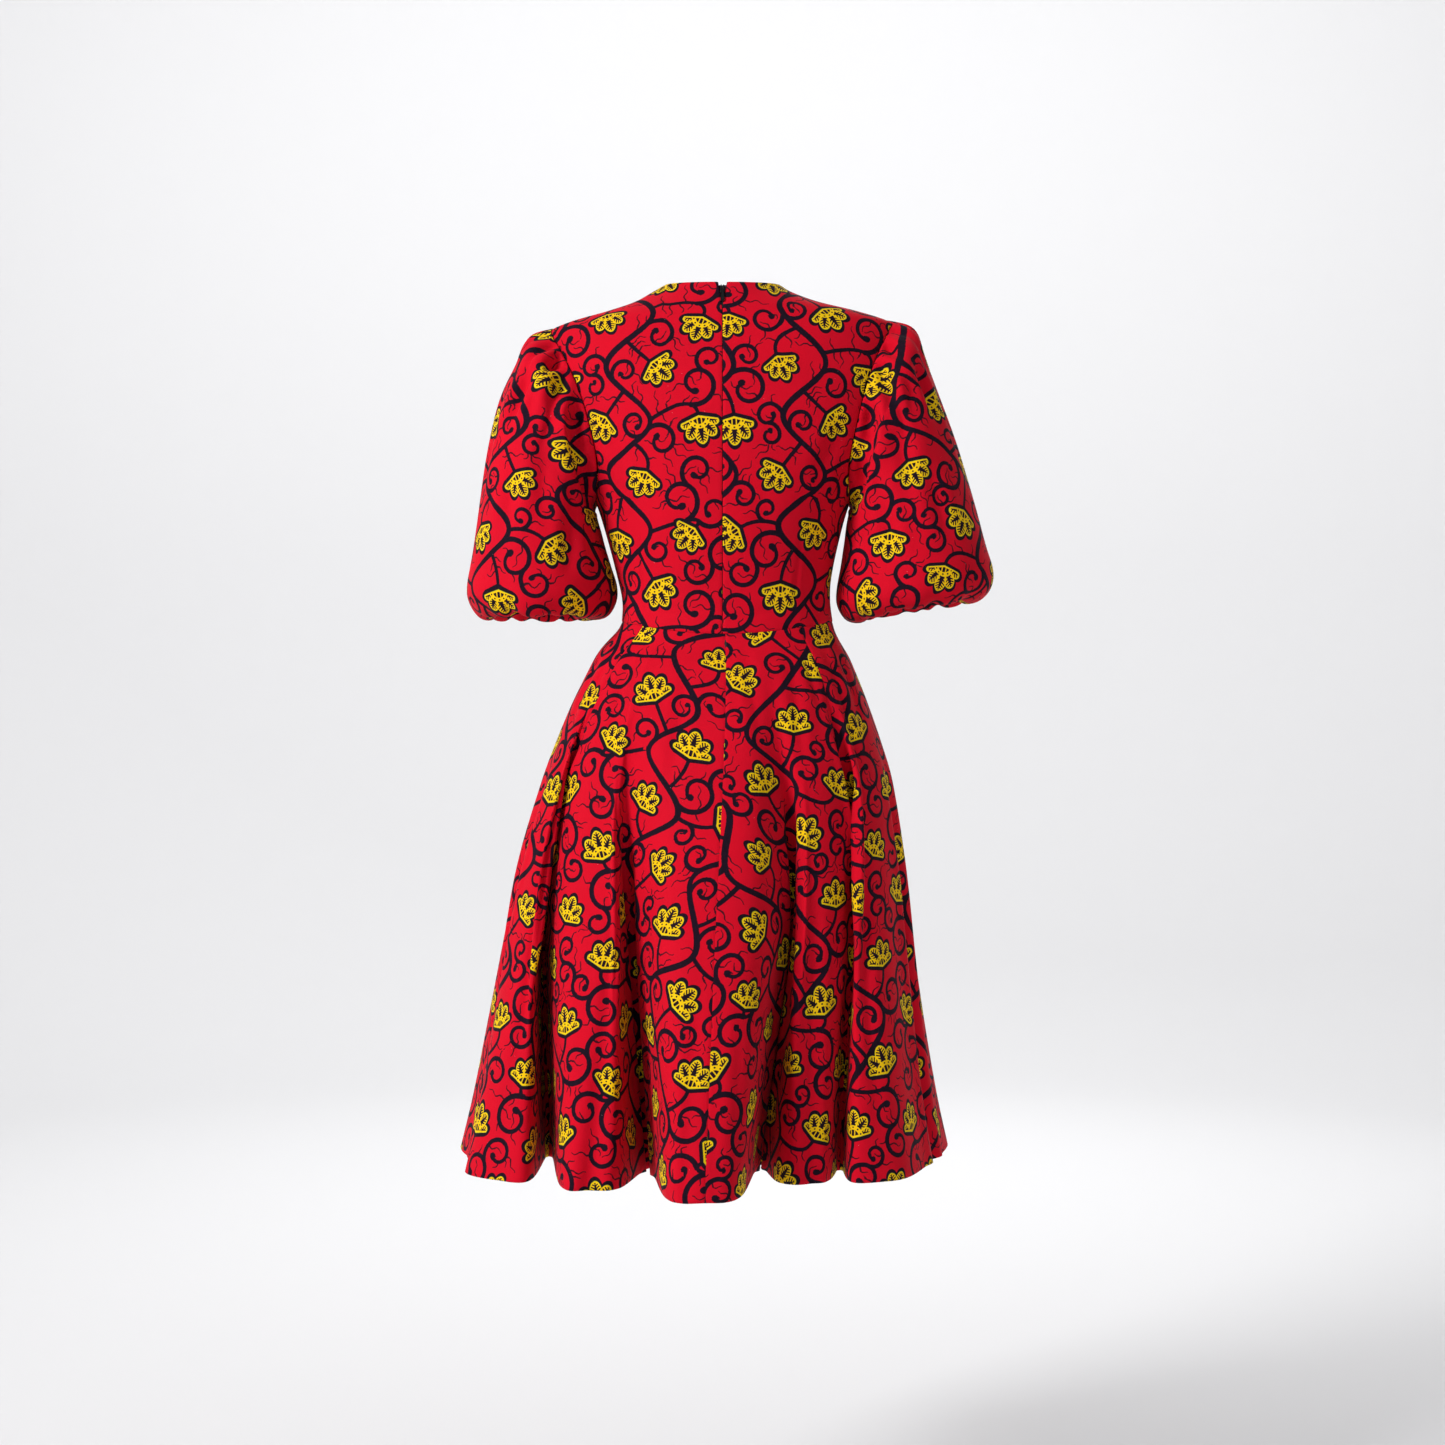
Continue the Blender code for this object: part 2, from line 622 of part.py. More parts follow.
def add_boolean(target, other, operation):
    other.hide_render = True
    other.display_type = "WIRE"
    change = target.modifiers.new(other.name, "BOOLEAN")
    change.operation = operation
    change.object = other


def add_slider(material, collection, cutters):
    """The slider's body with two lugs and the pin on which the tab hangs. Its face looks along local Y."""
    body = box_mesh(
        "zip_slider",
        (SLIDER_WIDTH, SLIDER_THICKNESS, SLIDER_LENGTH),
        (0.0, SLIDER_THICKNESS / 2, 0.0),
        bevel=0.0004,
    )
    slider = add_object("zip_slider", body, material, collection)
    slider.matrix_world = slider_frame()
    pin_y = SLIDER_THICKNESS + PIN_STAND_OFF
    for side in (1, -1):
        centre = (side * (LUG_GAP + LUG_WIDTH) / 2, pin_y / 2 + 0.0009, 0.001)
        lug = box_mesh("lug", (LUG_WIDTH, pin_y - 0.0002, 0.0026), centre, bevel=0.0002)
        lug = add_object("zip_lug", lug, material, cutters)
        lug.matrix_world = slider.matrix_world
        add_boolean(slider, lug, "UNION")
    pin = rod_mesh("pin", PIN_RADIUS, LUG_GAP + LUG_WIDTH, (0.0, pin_y, 0.001))
    pin = add_object("zip_pin", pin, material, cutters)
    pin.matrix_world = slider.matrix_world
    add_boolean(slider, pin, "UNION")
    return slider.matrix_world @ Vector((0.0, pin_y, 0.001))


def teardrop_outline():
    """The tab's outline: two arcs of unlike radius, joined by their tangents, down local Z."""
    low = -TAB_LENGTH + TAB_END_RADIUS
    high = -EYE_RADIUS * 0.4
    lean = acos((TAB_END_RADIUS - TAB_NECK_RADIUS) / (high - low))
    points = []
    for centre, radius, first, last in (
        (low, TAB_END_RADIUS, -lean, -2 * pi + lean),
        (high, TAB_NECK_RADIUS, lean, -lean),
    ):
        for i in range(ROUND_SIDES // 2 + 1):
            turn = first + (last - first) * i / (ROUND_SIDES // 2)
            points.append((radius * sin(turn), centre + radius * cos(turn)))
    return points


def add_tab(material, collection, cutters, hinge):
    """The pull tab: a flat drop that hangs from its eye, lying along the cloth."""
    curve = bpy.data.curves.new("zip_pull_tab", "CURVE")
    curve.dimensions = "2D"
    curve.fill_mode = "BOTH"
    curve.extrude = TAB_THICKNESS / 2
    line = curve.splines.new("POLY")
    outline = teardrop_outline()
    line.points.add(len(outline) - 1)
    for point, (x, z) in zip(line.points, outline, strict=True):
        point.co = (x, z, 0.0, 1.0)
    line.use_cyclic_u = True
    flat = bpy.data.objects.new("zip_tab_outline", curve)
    collection.objects.link(flat)
    bpy.context.view_layer.update()
    mesh = bpy.data.meshes.new_from_object(flat.evaluated_get(bpy.context.evaluated_depsgraph_get()))
    bpy.data.objects.remove(flat)
    bm = bmesh.new()
    bm.from_mesh(mesh)
    bmesh.ops.remove_doubles(bm, verts=bm.verts, dist=1e-6)
    bmesh.ops.rotate(bm, verts=bm.verts, matrix=Matrix.Rotation(pi / 2, 3, "X"))
    bm.to_mesh(mesh)
    bm.free()
    mesh.materials.clear()
    tab = add_object("zip_pull_tab", mesh, material, collection)
    lean = slider_frame().to_euler()
    place = Matrix.Translation(hinge) @ lean.to_matrix().to_4x4()
    tab.matrix_world = place
    eye = add_object("zip_eye", rod_mesh("eye", EYE_RADIUS, EYE_WIDTH, (0.0, 0.0, 0.0)), material, cutters)
    bore = add_object("zip_bore", rod_mesh("bore", EYE_BORE, 0.01, (0.0, 0.0, 0.0)), material, cutters)
    for cutter, operation in ((eye, "UNION"), (bore, "DIFFERENCE")):
        cutter.matrix_world = place
        add_boolean(tab, cutter, operation)


def main():
    for old in list(bpy.data.objects):
        bpy.data.objects.remove(old)
    dress = bpy.data.collections.new("wax_print_dress")
    cutters = bpy.data.collections.new("zip_helpers")
    for collection in (dress, cutters):
        bpy.context.scene.collection.children.link(collection)
    cotton = add_material("printed_cotton", CLOTH_RED, 0.75)
    tape = add_material("zip_tape", ZIP_BLACK, 0.8)
    enamel = add_material("zip_enamel", ZIP_BLACK, 0.3)
    add_bodice(cotton, dress)
    add_sleeves(cotton, dress)
    add_skirt(cotton, dress)
    add_tapes(tape, dress)
    hinge = add_slider(enamel, dress, cutters)
    add_tab(enamel, dress, cutters, hinge)


main()
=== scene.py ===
"""Wax print dress: its cloth with print, creases and turned hems, and its zip, on the frame.

Metres, +Z up, unless a name or comment says mm. The dress's back faces +Y, its left sleeve +X.
Each cloth piece is a bmesh grid whose points take their places from the tables below.
"""

from collections import namedtuple
from functools import lru_cache, partial
from math import acos, atan2, ceil, cos, degrees, hypot, pi, radians, sin

import bmesh
import bpy
import numpy as np
from bpy.props import FloatProperty, FloatVectorProperty, PointerProperty
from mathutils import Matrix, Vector


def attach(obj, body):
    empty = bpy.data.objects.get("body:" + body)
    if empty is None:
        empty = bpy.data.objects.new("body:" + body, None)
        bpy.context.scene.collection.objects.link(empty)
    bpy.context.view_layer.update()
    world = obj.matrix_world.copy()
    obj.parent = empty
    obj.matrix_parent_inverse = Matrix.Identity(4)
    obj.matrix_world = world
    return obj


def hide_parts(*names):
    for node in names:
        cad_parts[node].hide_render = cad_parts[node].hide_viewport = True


bl_info = {
    "name": "Wax Print Dress",
    "version": (1, 0, 0),
    "blender": (4, 5, 0),
    "location": "View3D > Sidebar > Dress",
    "description": "Builds a wax print dress with its print, creases and zip",
    "category": "Object",
}

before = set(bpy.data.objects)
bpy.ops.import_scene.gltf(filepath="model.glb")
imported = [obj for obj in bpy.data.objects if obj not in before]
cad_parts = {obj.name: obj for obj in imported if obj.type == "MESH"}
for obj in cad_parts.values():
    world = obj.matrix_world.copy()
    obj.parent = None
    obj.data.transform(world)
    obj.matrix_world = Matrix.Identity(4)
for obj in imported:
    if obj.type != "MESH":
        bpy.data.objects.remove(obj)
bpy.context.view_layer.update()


def table(columns, *rows):
    """Rows of numbers with named columns."""
    make = namedtuple("Row", columns)._make
    return tuple(make(row) for row in rows)



# The body's sections, from the neck points down to the waist seam
SECTION_POWER = 2.2
BODY = table(
    "z left right back front",
    (0.000, 0.066, 0.066, 0.050, 0.045),
    (-0.008, 0.080, 0.079, 0.053, 0.048),
    (-0.020, 0.102, 0.112, 0.059, 0.055),
    (-0.031, 0.135, 0.158, 0.065, 0.061),
    (-0.042, 0.174, 0.191, 0.070, 0.067),
    (-0.052, 0.195, 0.196, 0.074, 0.072),
    (-0.072, 0.200, 0.198, 0.080, 0.081),
    (-0.110, 0.196, 0.195, 0.089, 0.095),
    (-0.155, 0.182, 0.183, 0.096, 0.110),
    (-0.200, 0.160, 0.161, 0.098, 0.122),
    (-0.243, 0.141, 0.142, 0.096, 0.127),
    (-0.283, 0.1285, 0.1305, 0.091, 0.121),
    (-0.327, 0.1170, 0.1215, 0.085, 0.106),
    (-0.352, 0.1120, 0.1205, 0.083, 0.098),
    (-0.376, 0.1130, 0.1235, 0.084, 0.095),
    (-0.400, 0.1180, 0.1280, 0.088, 0.097),
)
NECK_HALF = 0.066
NECK_DROP_BACK = 0.004
NECK_DROP_FRONT = 0.088
NECK_POWER = 2.3  # how square the neckline's scoop is
WAIST_SIDE = -0.375
WAIST_DIP_BACK = 0.016
WAIST_DIP_FRONT = 0.006
UNDERARM = -0.243
TIP_LEFT = -0.047  # height of the left shoulder tip
TIP_RIGHT = -0.038
ARMHOLE_TURN_BACK = 38  # degrees that the armhole reaches round the body
ARMHOLE_TURN_FRONT = 43
SIDE_STEPS = 4  # along a side seam
ARMHOLE_STEPS = 8  # along each half of an armhole
NOTCH_HALF = 0.0045  # the zip's slit at the neck
NOTCH_LENGTH = 0.034
NOTCH_DRAW = 0.018  # how far from the slit the cloth follows it
EDGES_APART = 0.0003  # half the gap over the closed zip

# Puff sleeves: each row is a section through its outermost and innermost points
SLEEVE_ROUND = 500  # mm round a sleeve
TURNING_RING = 8  # the section from which the hem turns inside
CAP_HALF = 1.9  # radians round the sleeve, from the top, that the cap's gathers reach
PUFF_PLACE = 34  # mm below the armhole seam
PUFF_HALF = 17
PUFF_DEPTH = 0.0075
INNER_HALF = 0.95  # radians round the sleeve, from under the arm
INNER_DEPTH = 0.009
SLEEVE_COLUMNS = "outer_x outer_z inner_x inner_z back front"
SLEEVE_LEFT = table(
    SLEEVE_COLUMNS,
    (0.2130, -0.0560, 0.1465, -0.2480, 0.071, 0.076),
    (0.2300, -0.0860, 0.1500, -0.2560, 0.078, 0.080),
    (0.2480, -0.1280, 0.1480, -0.2670, 0.081, 0.081),
    (0.2610, -0.1850, 0.1440, -0.2810, 0.081, 0.079),
    (0.2700, -0.2400, 0.1390, -0.2970, 0.080, 0.077),
    (0.2780, -0.2950, 0.1330, -0.3160, 0.080, 0.076),
    (0.2850, -0.3360, 0.1270, -0.3360, 0.081, 0.077),
    (0.2820, -0.3550, 0.1280, -0.3510, 0.079, 0.075),
    (0.2720, -0.3690, 0.1370, -0.3650, 0.071, 0.067),
    (0.2600, -0.3720, 0.1490, -0.3710, 0.060, 0.057),
    (0.2510, -0.3640, 0.1570, -0.3630, 0.051, 0.049),
    (0.2490, -0.3520, 0.1590, -0.3510, 0.048, 0.047),
)
SLEEVE_RIGHT = table(
    SLEEVE_COLUMNS,
    (0.2110, -0.0480, 0.1470, -0.2480, 0.071, 0.076),
    (0.2270, -0.0800, 0.1500, -0.2560, 0.078, 0.080),
    (0.2430, -0.1280, 0.1490, -0.2670, 0.081, 0.081),
    (0.2630, -0.1850, 0.1470, -0.2810, 0.081, 0.079),
    (0.2800, -0.2400, 0.1440, -0.2970, 0.080, 0.077),
    (0.2930, -0.2880, 0.1410, -0.3160, 0.080, 0.076),
    (0.3020, -0.3180, 0.1370, -0.3380, 0.081, 0.077),
    (0.3000, -0.3370, 0.1370, -0.3540, 0.079, 0.075),
    (0.2900, -0.3490, 0.1450, -0.3670, 0.071, 0.067),
    (0.2780, -0.3520, 0.1570, -0.3720, 0.060, 0.057),
    (0.2680, -0.3450, 0.1670, -0.3620, 0.051, 0.049),
    (0.2660, -0.3340, 0.1690, -0.3490, 0.048, 0.047),
)

# The skirt without its folds, down to the hem
SKIRT = table(
    "z left right back front",
    (-0.372, 0.1130, 0.1235, 0.0840, 0.095),
    (-0.394, 0.1330, 0.1330, 0.0900, 0.100),
    (-0.417, 0.1440, 0.1430, 0.1030, 0.107),
    (-0.462, 0.1660, 0.1610, 0.1210, 0.118),
    (-0.507, 0.1835, 0.1755, 0.1350, 0.128),
    (-0.551, 0.1975, 0.1865, 0.1430, 0.137),
    (-0.641, 0.2190, 0.1960, 0.1540, 0.151),
    (-0.731, 0.2310, 0.2020, 0.1620, 0.161),
    (-0.820, 0.2420, 0.2090, 0.1680, 0.170),
    (-0.910, 0.2530, 0.2180, 0.1740, 0.178),
    (-0.967, 0.2620, 0.2260, 0.1770, 0.183),
)
HEM = -0.967
HEM_CENTRE = (0.018, 0.0)
FOLD_GROWTH = 1.25  # how a fold deepens from where it starts to the hem
TURN_SPEED = 1.6  # how soon the cloth turns from its angle at the waist to that at the hem
WAIST_BLEND = 0.075  # the share of the length in which the skirt leaves the waist's outline

# The folds at the hem, from the left side over the back, the right side and the front
FOLDS = table(
    "crest_x crest_y facing left right set_back valley_x valley_y waist_crest waist_valley start",
    (0.296, -0.045, -8, 0.042, 0.042, 0.010, 0.272, 0.058, -8, 12, -0.46),
    (0.240, 0.148, 62, 0.046, 0.036, 0.014, 0.192, 0.014, 28, 41, -0.44),
    (0.137, 0.200, 84, 0.032, 0.030, 0.014, 0.079, 0.104, 50, 61, -0.50),
    (0.018, 0.258, 96, 0.036, 0.038, 0.020, -0.039, 0.088, 91, 106, -0.44),
    (-0.084, 0.172, 97, 0.025, 0.030, 0.016, -0.127, 0.088, 119, 132, -0.42),
    (-0.168, 0.158, 112, 0.032, 0.038, 0.012, -0.232, 0.048, 147, 165, -0.46),
    (-0.256, -0.055, 188, 0.040, 0.040, 0.010, -0.212, -0.118, 186, 204, -0.47),
    (-0.192, -0.204, 228, 0.036, 0.036, 0.014, -0.118, -0.136, 221, 236, -0.45),
    (-0.070, -0.250, 258, 0.038, 0.038, 0.014, -0.012, -0.146, 254, 269, -0.50),
    (0.052, -0.242, 278, 0.036, 0.036, 0.014, 0.108, -0.148, 286, 301, -0.46),
    (0.172, -0.220, 306, 0.038, 0.040, 0.014, 0.216, -0.122, 317, 333, -0.44),
)
# Where the skirt's panels begin and end, in stations of four to a fold
CENTRE_BACK = 13.0
OVERLAP = 0.008  # how far a panel reaches past its end, so that no gap shows
SKIRT_PANELS = (
    ("skirt_side_left", 0.0, 7.0),
    ("skirt_back_left", 7.0, CENTRE_BACK),
    ("skirt_back_right", CENTRE_BACK, 19.0),
    ("skirt_side_right", 19.0, 24.5),
    ("skirt_front", 24.5, 44.0),
)

# The creases on each piece as cut, in mm: middle, direction in degrees, length, half width, depth
CREASE_COLUMNS = "u v turn length width depth"
CREASES = {
    "bodice_back_left": table(
        CREASE_COLUMNS,
        (94, 62, 84, 128, 2.6, 1.3), (118, 205, 62, 90, 9, 2.4), (138, 165, 74, 80, 8, 2.6),
        (60, 22, 4, 70, 6, 0.9), (104, 30, 172, 60, 7, 1.1), (40, 120, 98, 90, 12, 0.8),
        (34, 262, 20, 70, 10, 0.8), (84, 300, 160, 60, 9, 1.0),
    ),
    "bodice_back_right": table(
        CREASE_COLUMNS,
        (-86, 62, 96, 128, 2.6, 1.3), (-120, 200, 116, 92, 9, 2.6), (-140, 160, 104, 76, 8, 2.4),
        (-52, 24, 178, 64, 6, 1.0), (-108, 34, 8, 58, 7, 1.2), (-44, 132, 80, 84, 12, 0.9),
        (-30, 250, 158, 66, 10, 0.8), (-90, 296, 22, 56, 9, 1.0),
    ),
    "bodice_front": table(
        CREASE_COLUMNS,
        (84, 70, 98, 130, 2.6, 1.3), (-82, 70, 82, 130, 2.6, 1.3), (128, 190, 66, 86, 9, 2.2),
        (-130, 186, 112, 84, 9, 2.2), (0, 34, 2, 110, 8, 0.9), (46, 210, 150, 70, 12, 0.9),
        (-40, 216, 34, 64, 12, 0.9), (120, 26, 168, 60, 7, 1.1), (-118, 30, 14, 56, 7, 1.1),
    ),
    "sleeve_left": table(
        CREASE_COLUMNS,
        (78, 288, 98, 84, 5, 9.0), (66, 230, 92, 90, 6, 7.0), (104, 238, 106, 110, 6, 8.5),
        (142, 208, 112, 130, 8, 10.0), (176, 168, 114, 120, 9, 9.0), (122, 150, 97, 130, 10, 4.5),
        (88, 112, 88, 110, 9, 3.2), (28, 180, 90, 190, 9, 3.0), (162, 84, 95, 100, 8, 4.2),
        (-76, 284, 82, 80, 5, 8.0), (-106, 232, 74, 110, 6, 8.0), (-140, 206, 68, 130, 8, 9.5),
        (-176, 166, 66, 110, 9, 8.5), (-118, 140, 84, 130, 10, 4.2), (-34, 190, 91, 170, 9, 3.2),
        (-78, 104, 93, 100, 9, 3.0),
    ),
    "sleeve_right": table(
        CREASE_COLUMNS,
        (70, 292, 96, 76, 5, 8.5), (60, 226, 90, 96, 6, 6.5), (100, 244, 108, 104, 6, 9.0),
        (138, 212, 111, 136, 8, 9.5), (170, 174, 115, 110, 9, 9.5), (118, 156, 99, 120, 10, 4.2),
        (94, 104, 86, 120, 9, 3.6), (22, 188, 92, 180, 9, 3.2), (156, 90, 93, 90, 8, 4.6),
        (-82, 280, 80, 84, 5, 8.5), (-112, 236, 72, 104, 6, 7.5), (-144, 202, 69, 126, 8, 9.0),
        (-170, 170, 67, 116, 9, 9.0), (-122, 146, 82, 120, 10, 4.6), (-28, 184, 89, 180, 9, 2.8),
        (-84, 98, 95, 106, 9, 3.4),
    ),
}

# The skirt's creases run down from one station to another; down is 0 at the waist, 1 at the hem
SKIRT_CREASES = table(
    "place down low_place low_down width depth",
    (7.00, 0.13, 7.00, 1.05, 8, 23), (19.00, 0.07, 19.00, 1.05, 6.5, 25),
    (11.00, 0.30, 11.10, 1.05, 10, 11), (15.15, 0.20, 15.00, 1.05, 10, 13),
    (8.60, 0.00, 8.85, 0.27, 6, 1.9), (9.90, 0.00, 9.60, 0.20, 5, 1.2),
    (12.20, 0.02, 11.90, 0.36, 8, 1.7), (14.00, 0.00, 14.30, 0.24, 6, 1.5),
    (16.90, 0.00, 16.60, 0.30, 7, 1.9), (18.00, 0.01, 18.25, 0.19, 5, 1.6),
    (20.30, 0.00, 20.60, 0.30, 6, 2.0), (21.90, 0.01, 21.60, 0.24, 6, 1.6),
    (5.60, 0.00, 5.30, 0.28, 6, 2.0), (3.90, 0.01, 4.20, 0.24, 6, 1.7),
    (9.30, 0.46, 9.05, 1.05, 9, 3.4), (12.75, 0.55, 12.45, 1.05, 8, 2.2),
    (17.20, 0.40, 17.35, 1.05, 8, 4.2), (5.20, 0.38, 5.05, 0.92, 9, 3.4),
    (20.80, 0.42, 21.10, 0.96, 9, 3.8), (13.60, 0.62, 13.80, 0.98, 7, 1.8),
    (3.00, 0.20, 3.00, 1.05, 11, 11), (23.00, 0.18, 23.00, 1.05, 10, 12),
    (27.00, 0.22, 27.10, 1.05, 11, 12), (31.00, 0.30, 30.90, 1.05, 12, 10),
    (35.10, 0.20, 35.00, 1.05, 11, 12), (39.00, 0.28, 39.10, 1.05, 12, 11),
    (43.00, 0.20, 43.00, 1.05, 11, 12), (26.00, 0.00, 26.30, 0.26, 6, 1.8),
    (28.60, 0.00, 28.30, 0.30, 7, 1.9), (30.20, 0.01, 30.40, 0.22, 5, 1.4),
    (32.50, 0.00, 32.20, 0.32, 7, 1.8), (34.10, 0.00, 34.30, 0.20, 5, 1.5),
    (36.40, 0.00, 36.10, 0.28, 7, 1.9), (38.20, 0.01, 38.40, 0.24, 6, 1.5),
    (40.70, 0.00, 40.40, 0.30, 6, 1.9), (42.20, 0.00, 42.00, 0.22, 6, 1.6),
    (29.10, 0.44, 29.30, 1.05, 9, 3.6), (33.20, 0.50, 33.00, 1.05, 9, 3.4),
    (37.10, 0.42, 37.30, 0.96, 9, 3.6), (41.20, 0.48, 41.00, 1.05, 9, 3.2),
)

# The zip
TAPE_TOP = -0.0065
SLIDER_Z = -0.0125
WALL = 0.0015
TAPE_GAP = 0.0008
COIL_END = -0.105  # below this height only the coil's core shows
CORE_END = -0.368
COIL_HALF = 0.00062  # the coil's radius
COIL_PITCH = 0.0011
COIL_FACETS = 10  # to a turn
WIRE_HALF = 0.00026

# The studio
FLOOR_RADIUS = 3.4
BEND_RADIUS = 1.5  # of the bend between floor and backdrop
BEND_STEPS = 12
BACKDROP_HEIGHT = 3.0


def hermite(start, end, leave, arrive, share):
    """A smooth curve from start to end, with its slopes there."""
    s2, s3 = share * share, share**3
    return (
        start * (2 * s3 - 3 * s2 + 1) + leave * (s3 - 2 * s2 + share)
        + end * (3 * s2 - 2 * s3) + arrive * (s3 - s2)
    )


def through(a, b, c, d, share):
    """A smooth curve from b to c, on its way from a to d."""
    return hermite(b, c, (c - a) * 0.5, (d - b) * 0.5, share)


def smooth_value(rows, column, place):
    """Reads a column of a table at a height between its rows, along a smooth curve."""
    knots = [row.z for row in rows]
    values = [getattr(row, column) for row in rows]
    last = len(rows) - 1
    i = 0
    while i < last - 1 and place < knots[i + 1]:
        i += 1
    span = knots[i + 1] - knots[i]
    share = min(max((place - knots[i]) / span, 0.0), 1.0)

    def slope(j):
        a, b = max(j - 1, 0), min(j + 1, last)
        return (values[b] - values[a]) / (knots[b] - knots[a]) * span

    return hermite(values[i], values[i + 1], slope(i), slope(i + 1), share)


def body_half_width(z, side):
    return smooth_value(BODY, "left" if side >= 0 else "right", z)


def body_y(x, z, back):
    half = body_half_width(z, x)
    depth = smooth_value(BODY, "back" if back > 0 else "front", z)
    share = min(abs(x) / half, 1.0)
    return back * depth * (1 - share**SECTION_POWER) ** (1 / SECTION_POWER)


def waist_height(x, back):
    share = min(abs(x) / body_half_width(WAIST_SIDE, x), 1.0)
    dip = WAIST_DIP_BACK if back > 0 else WAIST_DIP_FRONT
    return WAIST_SIDE - dip * (1 - share**2)


def ring_point(rows, angle, z):
    """A point at an angle round a table's section at a height."""
    c, s = cos(angle), sin(angle)
    half = smooth_value(rows, "left" if c > 0 else "right", z)
    depth = smooth_value(rows, "back" if s > 0 else "front", z)
    x = half * (1 if c >= 0 else -1) * abs(c) ** (2 / SECTION_POWER)
    y = depth * (1 if s >= 0 else -1) * abs(s) ** (2 / SECTION_POWER)
    return Vector((x, y, z))


@lru_cache(maxsize=None)
def waist_point(angle):
    """A point of the waist seam, on the body at the seam's own height."""
    spot = ring_point(BODY, angle, WAIST_SIDE)
    for _ in range(4):
        spot = ring_point(BODY, angle, waist_height(spot.x, sin(angle)))
    return spot.freeze()


def tip_height(side):
    return TIP_LEFT if side > 0 else TIP_RIGHT


def armhole_point(side, back, turn):
    """A point of an armhole; turn is 0 at the shoulder tip and pi at the underarm."""
    top = tip_height(side)
    z = top + (UNDERARM - top) * (1 - cos(turn)) / 2
    reach = radians(ARMHOLE_TURN_BACK if back > 0 else ARMHOLE_TURN_FRONT)
    angle = reach * max(sin(turn), 0.0) ** 0.9
    x = body_half_width(z, side) * cos(angle) ** (2 / SECTION_POWER)
    return x, z


@lru_cache(maxsize=None)
def shoulder_height(x, side):
    """The height at which the body is as wide as x, between neck point and shoulder tip."""
    low, high = tip_height(side), 0.0
    for _ in range(40):
        middle = (low + high) / 2
        if body_half_width(middle, side) > x:
            low = middle
        else:
            high = middle
    return (low + high) / 2


def neck_height(x, back):
    share = min(x / NECK_HALF, 1.0)
    drop = NECK_DROP_BACK if back > 0 else NECK_DROP_FRONT
    return -drop * (1 - share**NECK_POWER) ** 0.6


def bodice_point(side, back, across, up):
    """A point of a bodice quarter: across is 0 at the side and 1 at the centre, up 0 at the waist.

    The side edge is the side seam up to SIDE_STEPS, then the armhole up to the shoulder tip.
    """
    angle = pi / 2 * across
    share = 1 - cos(angle)
    low_centre = WAIST_SIDE - (WAIST_DIP_BACK if back > 0 else WAIST_DIP_FRONT)
    if up <= SIDE_STEPS:
        part = up / SIDE_STEPS
        z_edge = WAIST_SIDE + (UNDERARM - WAIST_SIDE) * part
        x_edge = body_half_width(z_edge, side)
        z_centre = low_centre + (UNDERARM - low_centre) * part
        lift = 0.0
        x_waist = side * body_half_width(WAIST_SIDE, side) * cos(angle)
        low_edge = waist_height(x_waist, back) - (WAIST_SIDE + (low_centre - WAIST_SIDE) * share)
        low_edge *= 1 - part
    else:
        part = (up - SIDE_STEPS) / ARMHOLE_STEPS
        x_edge, z_edge = armhole_point(side, back, pi * (1 - part))
        top_centre = neck_height(0.0, back)
        z_centre = UNDERARM + (top_centre - UNDERARM) * part * (1.5 - 0.5 * part)
        x_tip, z_tip = armhole_point(side, back, 0.0)
        x_top = x_tip * cos(angle)
        if x_top > NECK_HALF + 1e-6:
            z_top = shoulder_height(x_top, side)
        else:
            z_top = neck_height(x_top, back)
        lift = (z_top - (z_tip + (top_centre - z_tip) * share)) * part**2
        low_edge = 0.0
    x = x_edge * cos(angle)
    z = z_edge + (z_centre - z_edge) * share + lift + low_edge
    return Vector((side * x, body_y(side * x, z, back), z))


def hem_stations():
    """Per station: hem place, angle there and at the waist, and height where folding starts."""
    stations = []
    count = len(FOLDS)
    for i, fold in enumerate(FOLDS):
        before = FOLDS[i - 1]
        after = FOLDS[(i + 1) % count]
        facing = Vector((cos(radians(fold.facing)), sin(radians(fold.facing))))
        onward = Vector((-facing.y, facing.x))
        crest = Vector((fold.crest_x, fold.crest_y))
        valley = Vector((fold.valley_x, fold.valley_y))
        left = crest - onward * fold.left - facing * fold.set_back
        right = crest + onward * fold.right - facing * fold.set_back
        waist_before = before.waist_valley - (360 if i == 0 else 0)
        start_before = (before.start + fold.start) / 2
        start_after = (fold.start + after.start) / 2
        rows = (
            (left, (waist_before + fold.waist_crest) / 2, start_before),
            (crest, fold.waist_crest, fold.start),
            (right, (fold.waist_crest + fold.waist_valley) / 2, start_after),
            (valley, fold.waist_valley, start_after),
        )
        for place, waist, start in rows:
            angle = degrees(atan2(place.y - HEM_CENTRE[1], place.x - HEM_CENTRE[0]))
            stations.append([place, angle, waist, start])
    for i in range(1, len(stations)):  # angles go on rising round the skirt
        while stations[i][1] < stations[i - 1][1] - 180:
            stations[i][1] += 360
    for i in range(0, len(stations), 2):  # a shoulder takes the mean of its neighbours
        turn = 360 if i == 0 else 0
        following = stations[(i + 1) % len(stations)][1]
        stations[i][1] = (stations[i - 1][1] - turn + following) / 2
    return stations


STATIONS = hem_stations()


@lru_cache(maxsize=None)
def round_station(place):
    """Smooth values between the stations: hem x and y, hem angle, waist angle and start height."""
    count = len(STATIONS)
    first = int(place // 1)
    share = place - first

    def values(i):
        spot, hem_angle, waist_angle, start = STATIONS[i % count]
        turn = 360 * (i // count)
        return Vector((spot.x, spot.y, hem_angle + turn, waist_angle + turn, start))

    return through(*(values(first + i) for i in (-1, 0, 1, 2)), share)


@lru_cache(maxsize=None)
def hem_ring_point(angle):
    return ring_point(SKIRT, angle, HEM).freeze()


